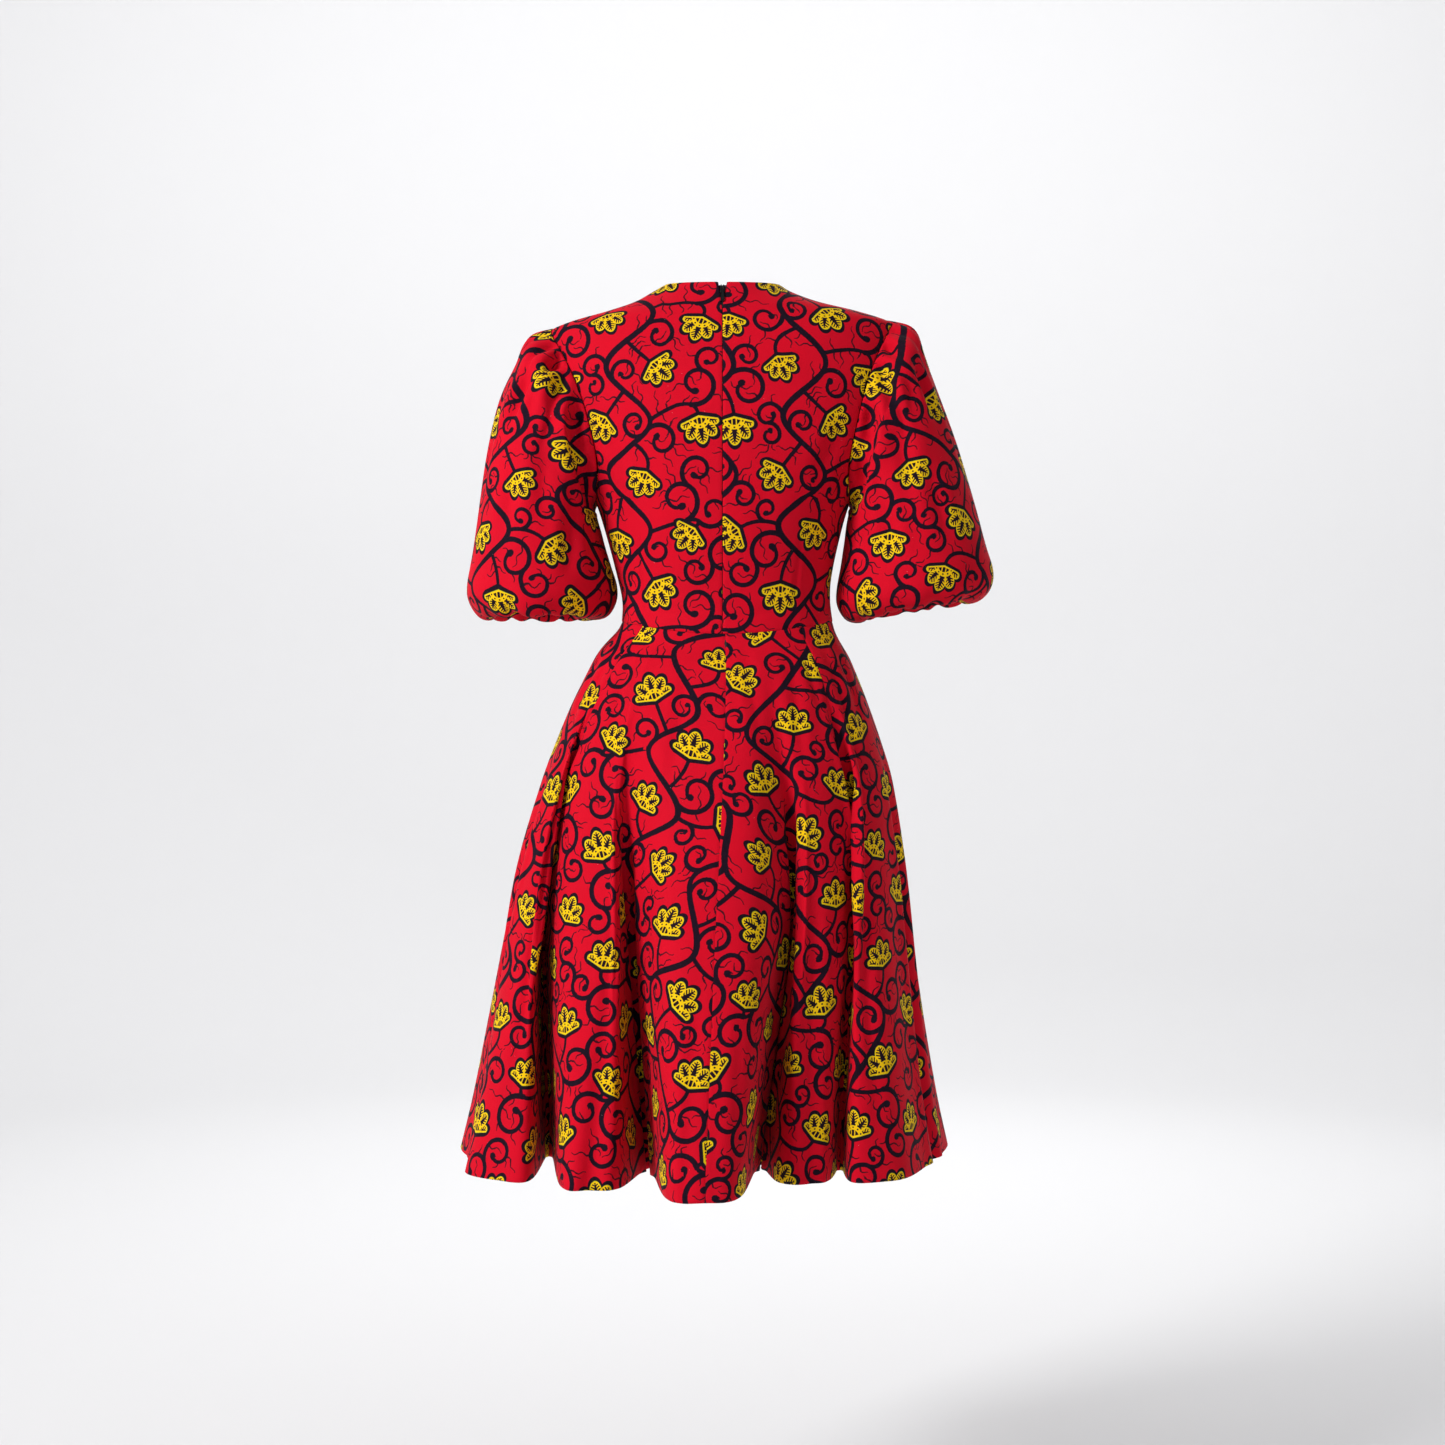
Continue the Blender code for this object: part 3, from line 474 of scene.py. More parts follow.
def skirt_point(place, down):
    """A point of the skirt: place in stations round it, down 0 at the waist and 1 at the hem."""
    hem_x, hem_y, hem_angle, waist_angle, start = round_station(place)
    waist = waist_point(radians(waist_angle))
    if down == 0:
        return waist
    z = waist.z + (HEM - waist.z) * down
    spread = min(down * TURN_SPEED, 1.0)
    angle = radians(waist_angle + (hem_angle - waist_angle) * spread * spread * (3 - 2 * spread))
    plain = ring_point(SKIRT, angle, z)
    grown = max((start - z) / (start - HEM), 0.0) ** FOLD_GROWTH
    fold = Vector((hem_x, hem_y, HEM)) - hem_ring_point(radians(hem_angle))
    near = min(down / WAIST_BLEND, 1.0)
    spot = waist.lerp(plain, near * (2 - near)) + fold * grown
    spot.z = z
    return spot


def sleeve_start(side, turn):
    """The armhole seam."""
    back = 1 if turn <= pi else -1
    x, z = armhole_point(side, back, turn if turn <= pi else 2 * pi - turn)
    return Vector((side * (x + 0.0005), body_y(side * x, z, back), z))


def eased(share):
    share = np.clip(share, 0.0, 1.0)
    return share * share * (3 - 2 * share)


def spaced(first, last, length, step, ends=(True, True)):
    """Even steps between two values, with narrow steps of a seam's roll at the chosen ends."""
    count = max(round(length / step), 4)
    inner = list(np.linspace(first, last, count + 1))
    unit = (last - first) / length
    if ends[0]:
        inner[1:1] = [first + unit * 0.0007, first + unit * 0.0016]
    if ends[1]:
        inner[-1:-1] = [last - unit * 0.0016, last - unit * 0.0007]
    return inner


def outward_normals(points, closed=False):
    """Unit normals of a grid of points, facing away from the middle of the dress's sections."""
    wide = np.concatenate([points[:, -2:-1], points, points[:, 1:2]], 1) if closed else points
    along = np.gradient(wide, axis=1)
    down = np.gradient(wide, axis=0)
    normal = np.cross(along, down)
    if closed:
        normal = normal[:, 1:-1]
    return normal / np.maximum(np.linalg.norm(normal, axis=2, keepdims=True), 1e-12)


def lengths_along(points, axis):
    """How far each point of a grid lies along its row or column."""
    steps = np.linalg.norm(np.diff(points, axis=axis), axis=2)
    pad = [(0, 0), (0, 0)]
    pad[axis] = (1, 0)
    return np.pad(np.cumsum(steps, axis=axis), pad)


def laid_flat(points, start, xs, ys, stride):
    """Each point's place in mm on the piece as cut: every few points relaxed flat."""
    rows = sorted({*range(0, len(ys), stride), len(ys) - 1})
    columns = sorted({*range(0, len(xs), stride), len(xs) - 1})
    spots = points[np.ix_(rows, columns)].reshape(-1, 3) * 1000
    flat = start[np.ix_(rows, columns)].reshape(-1, 2).astype(float)
    number = np.arange(len(flat)).reshape(len(rows), len(columns))
    pairs = [
        (number[:, :-1], number[:, 1:]), (number[:-1], number[1:]),
        (number[:-1, :-1], number[1:, 1:]), (number[:-1, 1:], number[1:, :-1]),
    ]
    a = np.concatenate([pair[0].ravel() for pair in pairs])
    b = np.concatenate([pair[1].ravel() for pair in pairs])
    rest = np.linalg.norm(spots[b] - spots[a], axis=1)
    share = 1.5 / (np.bincount(a, minlength=len(flat)) + np.bincount(b, minlength=len(flat)))
    for _ in range(2500):
        gap = flat[b] - flat[a]
        length = np.maximum(np.hypot(*gap.T), 1e-6)
        pull = gap * ((length - rest) / length * 0.5)[:, None]
        for k in (0, 1):
            move = np.bincount(a, pull[:, k], len(flat)) - np.bincount(b, pull[:, k], len(flat))
            flat[:, k] += move * share
    flat = flat.reshape(len(rows), len(columns), 2)
    xs, ys = np.asarray(xs), np.asarray(ys)
    wide = [[np.interp(xs, xs[columns], row[:, k]) for row in flat] for k in (0, 1)]
    full = [[np.interp(ys, ys[rows], column) for column in np.array(w).T] for w in wide]
    return np.stack([np.array(f).T for f in full], 2)


def upright(plan, lean):
    """Turns a plan so that its line along lean runs straight up."""
    lean = lean / hypot(*lean)
    return plan @ np.array(((lean[1], lean[0]), (-lean[0], lean[1])))


def creased(plan, creases):
    """How far the cloth lies in at its creases, soft troughs with low ridges beside them."""
    relief = np.zeros(plan.shape[:2])
    for c in creases:
        du, dv = plan[..., 0] - c.u, plan[..., 1] - c.v
        way = (cos(radians(c.turn)), sin(radians(c.turn)))
        along = (du * way[0] + dv * way[1]) / (c.length / 2)
        across = (dv * way[0] - du * way[1]) / c.width
        fade = np.clip(1 - along**2, 0, 1) ** 2
        trough = np.exp(-(across**2)) - 0.4 * np.exp(-((np.abs(across) - 2.1) ** 2))
        relief -= c.depth * fade * trough
    return relief / 1000


def skirt_relief(places, downs, across):
    """How far the skirt lies in at its creases; across is each point's distance along its row."""
    places, downs = np.array(places), np.array(downs)[:, None]
    scale = np.gradient(across, places, axis=1) * 1000
    relief = np.zeros(across.shape)
    for c in SKIRT_CREASES:
        share = (downs - c.down) / (c.low_down - c.down)
        line = c.place + (c.low_place - c.place) * share
        gap = (places - line) * scale / c.width
        fade = eased(share * 2.2) * eased((1.0 - share) * 2.2 + (c.low_down > 1))
        trough = np.exp(-(gap**2)) - 0.34 * np.exp(-((np.abs(gap) - 2.0) ** 2))
        relief -= c.depth * fade * trough
    return relief / 1000


def gathers(around, away, seed, spacing, depth, reach):
    """Uneven grooves between a gathered seam's puffs; around and away are distances in mm."""
    rng = np.random.default_rng(seed)
    relief = np.zeros(around.shape)
    place = rng.uniform(0, spacing)
    while place < SLEEVE_ROUND:
        width = spacing * rng.uniform(0.16, 0.27)
        long = reach * rng.uniform(0.35, 1.25)
        deep = depth * rng.uniform(0.5, 1.25)
        lean = rng.uniform(-0.12, 0.12)
        gap = around - place - lean * away
        gap = gap - np.round(gap / SLEEVE_ROUND) * SLEEVE_ROUND
        spread = width * (1 + 0.7 * np.clip(away / long, 0, 1))
        groove = deep * np.exp(-((gap / spread) ** 2)) * np.exp(-((away / long) ** 2))
        relief += groove * (1 - np.exp(-away / 5.0))
        place += spacing * rng.uniform(0.6, 1.45)
    return (relief.mean() * 0.8 - relief) / 1000


# The print: one repeat in mm, with its blossoms and its winding stems
REPEAT = np.array((300.0, 360.0))
BLOSSOMS = table(
    "x y turn size",
    (46, 26, 196, 1.00), (153, 34, 158, 0.94), (252, 27, 214, 1.04), (98, 94, 148, 1.05),
    (203, 86, 190, 0.96), (303, 93, 172, 0.98), (52, 152, 222, 0.95), (148, 147, 184, 1.06),
    (247, 154, 140, 1.00), (104, 213, 205, 0.97), (197, 208, 236, 1.00), (299, 205, 162, 1.05),
    (45, 272, 170, 1.04), (151, 274, 218, 0.95), (254, 268, 186, 0.98), (97, 332, 130, 0.96),
    (202, 327, 178, 1.05), (296, 334, 208, 0.95),
)
STEMS = (
    ((100, 30), (147, 96), (101, 152), (152, 213), (98, 268), (149, 330)),
    ((201, 28), (251, 98), (300, 146), (252, 216), (199, 266), (249, 332)),
)
STEM_HALF = 3.1
CURL_SIZES = (25.0, 20.0, 16.5, 13.5, 11.0, 9.2, 7.5, 6.2, 5.2)
SMALL_CURL = 9  # a curl up to this size winds less and leaves its root at a wider angle
HAIRS = 210
HAIR_TRIES = 6000
STRETCH = 9  # mm along a line that count as one place
FACE_REACH = 1.7  # mm along a line that a face beside a point can lie from it
Stroke = namedtuple("Stroke", "points widths")


def heading_of(blossom):
    lean = radians(blossom.turn)
    return np.array((-sin(lean), cos(lean)))


def around_repeat(delta):
    """Distances on the repeat, which goes on past each edge."""
    return delta - np.round(delta / REPEAT) * REPEAT


def stem_line(knots):
    """A smooth stem through its knots, on to the next repeat, sampled about every 1.5 mm."""
    rise = np.array((0.0, REPEAT[1]))
    pts = np.array(knots, float)
    pts = np.vstack([pts[-1:] - rise, pts, pts[:2] + rise])
    out = []
    for a, b, c, d in zip(pts, pts[1:], pts[2:], pts[3:]):
        count = int(hypot(*(c - b)) / 1.45)
        out.append(through(a, b, c, d, (np.arange(count) / count)[:, None]))
    return np.vstack([*out, pts[-2:-1]])


def curl_line(root, heading, side, size):
    """A curl that leaves its root along heading and winds up to one side, to a round end."""
    turns, wind = (1.05, 0.16) if size > SMALL_CURL else (0.80, 0.20)
    count = max(int(size * turns * 4.2), 14)
    angle = np.linspace(0, turns * 2 * pi, count)
    steps = size * np.exp(-wind * angle) * (angle[1] - angle[0])
    way = heading + side * angle
    pts = np.stack([np.cos(way), np.sin(way)], 1) * steps[:, None]
    pts = np.array(root) + np.vstack([np.zeros((1, 2)), np.cumsum(pts[:-1], 0)])
    share = np.linspace(0, 1, count)
    half = 1.5 + 0.045 * size
    widths = half * (1.15 - 0.42 * share) + half * 0.70 * np.exp(-(((share - 0.965) / 0.055) ** 2))
    return pts, widths


class Room:
    """How far each square millimetre of the repeat is from what is already drawn."""

    def __init__(self):
        self.shape = tuple(int(side) for side in REPEAT)
        self.far = np.full(self.shape, 99.0)

    def add(self, points, widths, reach=34):
        offs = np.arange(-reach, reach + 1)
        gx, gy = np.meshgrid(offs, offs, indexing="ij")
        near = gx**2 + gy**2 <= reach**2
        gx, gy = gx[near], gy[near]
        gap = np.hypot(gx, gy)
        for (x, y), width in zip(points[::2], widths[::2]):
            ix, iy = (int(x) + gx) % self.shape[0], (int(y) + gy) % self.shape[1]
            self.far[ix, iy] = np.minimum(self.far[ix, iy], gap - width)

    def at(self, points):
        ix, iy = points.astype(int).T
        return self.far[ix % self.shape[0], iy % self.shape[1]]


def grow_print():
    """Stems, the blossoms' stalks, curls from large to small where there is room, hairlines."""
    rng = np.random.default_rng(11)
    room = Room()
    for b in BLOSSOMS:
        ahead = heading_of(b)
        base = np.array((b.x, b.y))
        room.add((base + ahead * 11 * b.size)[None], [22.0 * b.size], reach=60)
        room.add(base[None], [15.0 * b.size], reach=60)
    strokes = []
    for knots in STEMS:
        pts = stem_line(knots)
        widths = STEM_HALF * (1 + 0.12 * np.sin(np.arange(len(pts)) * 0.05))
        strokes.append(Stroke(pts, widths))
        room.add(pts, widths)
    for b in BLOSSOMS:
        ahead = heading_of(b)
        base = np.array((b.x, b.y)) - ahead * 3
        best = None
        for stem in strokes[: len(STEMS)]:
            gap = around_repeat(stem.points - base)
            cost = np.hypot(*gap.T) + 0.35 * np.abs(gap @ np.array((-ahead[1], ahead[0])))
            i = int(np.argmin(cost + 40 * (gap @ ahead > 5)))
            if best is None or cost[i] < best[0]:
                best = (cost[i], gap[i])
        end = base + best[1]
        bend = base - ahead * hypot(*best[1]) * 0.5
        count = int(hypot(*best[1]) / 1.3) + 6
        s = np.linspace(0, 1, count)[:, None]
        pts = base * (1 - s) ** 2 + bend * 2 * s * (1 - s) + end * s**2
        strokes.append(Stroke(pts[::-1], np.linspace(2.3, 2.0, count)))
        room.add(pts, np.full(count, 2.2))
    for size in CURL_SIZES:
        half = 1.5 + 0.045 * size
        gap = 2.9 if size > SMALL_CURL else 2.1
        k = 0
        while k < len(strokes):
            pts, widths = strokes[k]
            k += 1
            for i in rng.permutation(np.arange(6, len(pts) - 5, 3)):
                along = pts[min(i + 2, len(pts) - 1)] - pts[i - 2]
                heading = np.arctan2(along[1], along[0])
                if widths[i] < half * 0.72:
                    continue
                for side, back in [(s, b) for s in rng.permutation([1, -1]) for b in (0, 1)]:
                    if back and k > len(STEMS):
                        continue
                    lean = side * (0.35 if size > SMALL_CURL else 0.75)
                    new, wide = curl_line(pts[i], heading + pi * back + lean, side, size)
                    step = hypot(*(new[1] - new[0]))
                    skip = int(((size * 0.95 if size > SMALL_CURL else 4.5) + widths[i]) / step)
                    if (room.at(new[skip:]) - wide[skip:] > gap).all():
                        strokes.append(Stroke(new, wide))
                        room.add(new, wide)
                        break
    hairs = []
    for _ in range(HAIR_TRIES):
        if len(hairs) == HAIRS:
            break
        pts, widths = strokes[rng.integers(len(strokes))]
        i = rng.integers(3, len(pts) - 3)
        along = pts[i + 1] - pts[i - 1]
        heading = np.arctan2(along[1], along[0]) + rng.choice([1, -1]) * rng.uniform(0.7, 1.6)
        length = rng.uniform(10, 34)
        s = np.arange(int(length)) / int(length)
        way = heading + 0.7 * np.sin(s * length / 2.6 + rng.uniform(0, 6))
        way = way + rng.uniform(-0.9, 0.9) * s
        new = pts[i] + np.cumsum(np.stack([np.cos(way), np.sin(way)], 1), 0)
        skip = int(widths[i] + 2.5)
        if len(new) <= skip + 4 or not (room.at(new[skip:]) > 1.6).all():
            continue
        wide = 1.0 * (1 - 0.6 * s)
        hairs.append(Stroke(new, wide))
        room.add(new, wide, reach=12)
    return strokes, hairs


class LineMap:
    """For each square millimetre of the repeat, the nearest drawn line and the next nearest."""

    def __init__(self, strokes, reach):
        pts, way, bend, half, slope, ends, run, along = [], [], [], [], [], [], [], []
        for k, (points, widths) in enumerate(strokes):
            step = np.gradient(points, axis=0)
            length = np.hypot(*step.T)
            unit = step / length[:, None]
            turn = np.gradient(np.unwrap(np.arctan2(unit[:, 1], unit[:, 0]))) / length
            pts.append(points)
            way.append(unit)
            bend.append(turn)
            half.append(widths)
            slope.append(np.gradient(widths) / length)
            run.append(np.full(len(points), k))
            far = np.cumsum(length) - length[0]
            along.append(far)
            looped = hypot(*around_repeat(points[0] - points[-1])) < 3
            ends.append(np.stack([far, far[-1] - far], 1) + 99 * looped)
        self.pts, self.way = np.vstack(pts), np.vstack(way)
        self.bend, self.half, self.slope = (np.concatenate(x) for x in (bend, half, slope))
        self.ends = np.vstack(ends)
        run, along = np.concatenate(run), np.concatenate(along)
        shape = tuple(int(side) for side in REPEAT)
        self.first = np.full(shape, -1)
        self.second = np.full(shape, -1)
        near1, near2 = np.full(shape, 1e3), np.full(shape, 1e3)
        offs = np.arange(-reach, reach + 1)
        gx, gy = np.meshgrid(offs, offs, indexing="ij")
        gx, gy = gx.ravel(), gy.ravel()
        for i, ((x, y), width) in enumerate(zip(self.pts, self.half)):
            cx, cy = int(np.floor(x)), int(np.floor(y))
            gap = np.hypot(cx + gx + 0.5 - x, cy + gy + 0.5 - y) - width
            ix, iy = (cx + gx) % shape[0], (cy + gy) % shape[1]
            a, da, b, db = self.first[ix, iy], near1[ix, iy], self.second[ix, iy], near2[ix, iy]
            same = (run[a] == run[i]) & (np.abs(along[a] - along[i]) < STRETCH) & (a >= 0)
            also = (run[b] == run[i]) & (np.abs(along[b] - along[i]) < STRETCH) & (b >= 0)
            better = gap < da
            push = better & ~same
            self.second[ix, iy] = np.where(push, a, b)
            near2[ix, iy] = np.where(push, da, db)
            self.first[ix, iy] = np.where(better, i, a)
            near1[ix, iy] = np.where(better, gap, da)
            side = ~better & ~same & ((gap < db) | (also & (gap < db)))
            self.second[ix[side], iy[side]] = i
            near2[ix[side], iy[side]] = gap[side]

    def facing(self, middles, corners, chosen):
        """For each face corner: how far across its line, the half width, how far past the end."""
        ix, iy = (np.floor(middles).astype(int) % REPEAT.astype(int)).T
        i = chosen[ix, iy]
        gap = around_repeat(middles - self.pts[i])[:, None] + (corners - middles[:, None])
        way = self.way[i][:, None]
        along = (gap * way).sum(2)
        across = gap[..., 1] * way[..., 0] - gap[..., 0] * way[..., 1]
        bend = self.bend[i][:, None]
        radius = 1 / np.where(np.abs(bend) < 0.01, 0.01, bend)
        round_it = np.sign(radius) * (np.abs(radius) - np.hypot(along, across - radius))
        past = np.maximum(-along - self.ends[i][:, :1], along - self.ends[i][:, 1:])
        # Past the line's end or the centre of its bend, it's taken as straight
        straight = (past > 0) | (across * np.sign(radius) > np.abs(radius))
        bent = np.where(np.abs(bend) < 0.01, across - bend * along**2 / 2, round_it)
        across = np.where(straight, across, bent)
        half = self.half[i][:, None] + self.slope[i][:, None] * np.clip(along, -1.5, 1.5)
        out = np.stack([across, half, past], 2)
        # A face that isn't square beside its point belongs to another part of the line
        off = (around_repeat(middles - self.pts[i]) * self.way[i]).sum(1)
        over = np.maximum(-off - self.ends[i][:, 0], off - self.ends[i][:, 1])
        beside = (np.abs(off) > FACE_REACH) & (over <= 0)
        out[(i < 0) | beside] = (40.0, 1.0, 0.0)
        return out


@lru_cache(maxsize=1)
def print_maps():
    strokes, hairs = grow_print()
    return LineMap(strokes, reach=16), LineMap(hairs, reach=8)


def blossom_places(middles, corners):
    """Each face corner's place in mm from the nearest blossom's base, which points along +Y."""
    best = np.full(len(middles), 1e9)
    out = np.zeros((*corners.shape[:2], 3))
    for b in BLOSSOMS:
        ahead = heading_of(b)
        across = np.array((ahead[1], -ahead[0]))  # to the blossom's right
        gap = around_repeat(middles - np.array((b.x, b.y)) - ahead * 9)
        far = np.hypot(*gap.T)
        near = far < best
        best[near] = far[near]
        local = (gap + ahead * 9)[:, None] + (corners - middles[:, None])
        out[near, :, 0] = (local[near] @ across) / b.size
        out[near, :, 1] = (local[near] @ ahead) / b.size
    return out


# How each piece lies on the printed cloth: turn in degrees and place in mm
LAYS = {
    "bodice_back_left": (0, 20, 40),
    "bodice_back_right": (0, 214, 96),
    "bodice_front": (0, 130, 240),
    "sleeve_left": (0, 60, 130),
    "sleeve_right": (0, 190, 300),
    "skirt_back_left": (0, 70, 10),
    "skirt_back_right": (0, 250, 150),
    "skirt_side_left": (0, 120, 290),
    "skirt_side_right": (0, 10, 70),
    "skirt_front": (0, 170, 200),
}


def add_object(name, data):
    thing = bpy.data.objects.new(name, data)
    bpy.context.scene.collection.objects.link(thing)
    return thing


def cloth_piece(name, points, plan, wall, closed=False, inside_out=False):
    """A cloth piece: a grid whose points take their places, with its print and its wall.

    plan holds each point's place in mm on the piece as cut.
    """
    rows, columns = points.shape[:2]
    bm = bmesh.new()
    bmesh.ops.create_grid(bm, x_segments=columns - 1, y_segments=rows - 1, size=1.0)
    if len(bm.verts) != rows * columns:
        raise RuntimeError(f"{name}: the grid has {len(bm.verts)} points, not {rows * columns}")
    mesh = bpy.data.meshes.new(name)
    bm.to_mesh(mesh)
    bm.free()
    mesh.vertices.foreach_set("co", points.reshape(-1).astype(np.float32))
    corner = np.empty(len(mesh.loops), int)
    mesh.loops.foreach_get("vertex_index", corner)
    turn, x, y = LAYS[name]
    c, s = cos(radians(turn)), sin(radians(turn))
    flat = plan.reshape(-1, 2)
    flat = np.stack([flat[:, 0] * c - flat[:, 1] * s + x, flat[:, 0] * s + flat[:, 1] * c + y], 1)
    corners = flat[corner].reshape(-1, 4, 2)
    middles = corners.mean(1)
    uv = mesh.uv_layers.new(name="cut")
    uv.data.foreach_set("uv", (flat[corner] / 1000).reshape(-1).astype(np.float32))
    vines, hairs = print_maps()
    for key, values in (
        ("vine_a", vines.facing(middles, corners, vines.first)),
        ("vine_b", vines.facing(middles, corners, vines.second)),
        ("hair", hairs.facing(middles, corners, hairs.first)),
        ("blossom", blossom_places(middles, corners)),
    ):
        layer = mesh.attributes.new(key, "FLOAT_VECTOR", "CORNER")
        layer.data.foreach_set("vector", values.reshape(-1).astype(np.float32))
    bm = bmesh.new()
    bm.from_mesh(mesh)
    if closed:
        bmesh.ops.remove_doubles(bm, verts=bm.verts, dist=1e-6)
    if inside_out:
        bmesh.ops.reverse_faces(bm, faces=bm.faces)
    bm.to_mesh(mesh)
    bm.free()
    mesh.shade_smooth()
    thing = add_object(name + "_cloth", mesh)
    mesh.materials.append(printed_cotton())
    shell = thing.modifiers.new("Wall", "SOLIDIFY")
    shell.thickness = wall
    shell.offset = -1.0
    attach(thing, "garment")
    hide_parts(name)
    return thing


def roll_in(points, normals, away, depth=0.0007, width=0.0013):
    """Rolls the cloth in beside a seam; away is each point's distance from it in metres."""
    return points - normals * (depth * np.exp(-((away / width) ** 2)))[..., None]


def turned_edge(points, plan, normals, width, steps, inset=0.0016):
    """Adds rows that turn the last row's edge to the inside and back up, as a hem does."""
    edge, before = points[-1], points[-4]
    back = before - edge
    back /= np.linalg.norm(back, axis=1, keepdims=True)
    inward = -normals[-1]
    rows, flat = [], []
    down = plan[-1] - plan[-4]
    down /= np.linalg.norm(down, axis=1, keepdims=True)
    rows.append(edge + inward * inset * 0.5 - back * inset * 0.35)
    flat.append(plan[-1] + down * inset * 500)
    for i in range(steps + 1):
        go = width * i / steps
        rows.append(edge + inward * inset + back * (go + 0.0002))
        flat.append(plan[-1] + down * (go + inset) * 1000)
    return np.concatenate([points, rows]), np.concatenate([plan, flat])


def hex_colour(text):
    """An sRGB hex value as linear RGBA."""
    parts = [int(text[i : i + 2], 16) / 255 for i in (0, 2, 4)]
    return (*(c / 12.92 if c <= 0.04045 else ((c + 0.055) / 1.055) ** 2.4 for c in parts), 1.0)


def add_node(tree, kind, *inputs, out=0, **settings):
    """Adds a node with its settings; an input is a socket to link, a value to set or None.

    A word after a dot in kind is the node's operation.
    """
    kind, _, operation = kind.partition(".")
    node = tree.nodes.new("ShaderNode" + kind)
    if operation:
        node.operation = operation
    for key, value in settings.items():
        setattr(node, key, value)
    for socket, value in zip(node.inputs, inputs):
        if isinstance(value, bpy.types.NodeSocket):
            tree.links.new(value, socket)
        elif value is not None:
            socket.default_value = value
    return node.outputs[out]


def new_material(name):
    material = bpy.data.materials.new(name)
    material.use_nodes = True
    tree = material.node_tree
    return material, tree, tree.nodes["Principled BSDF"]


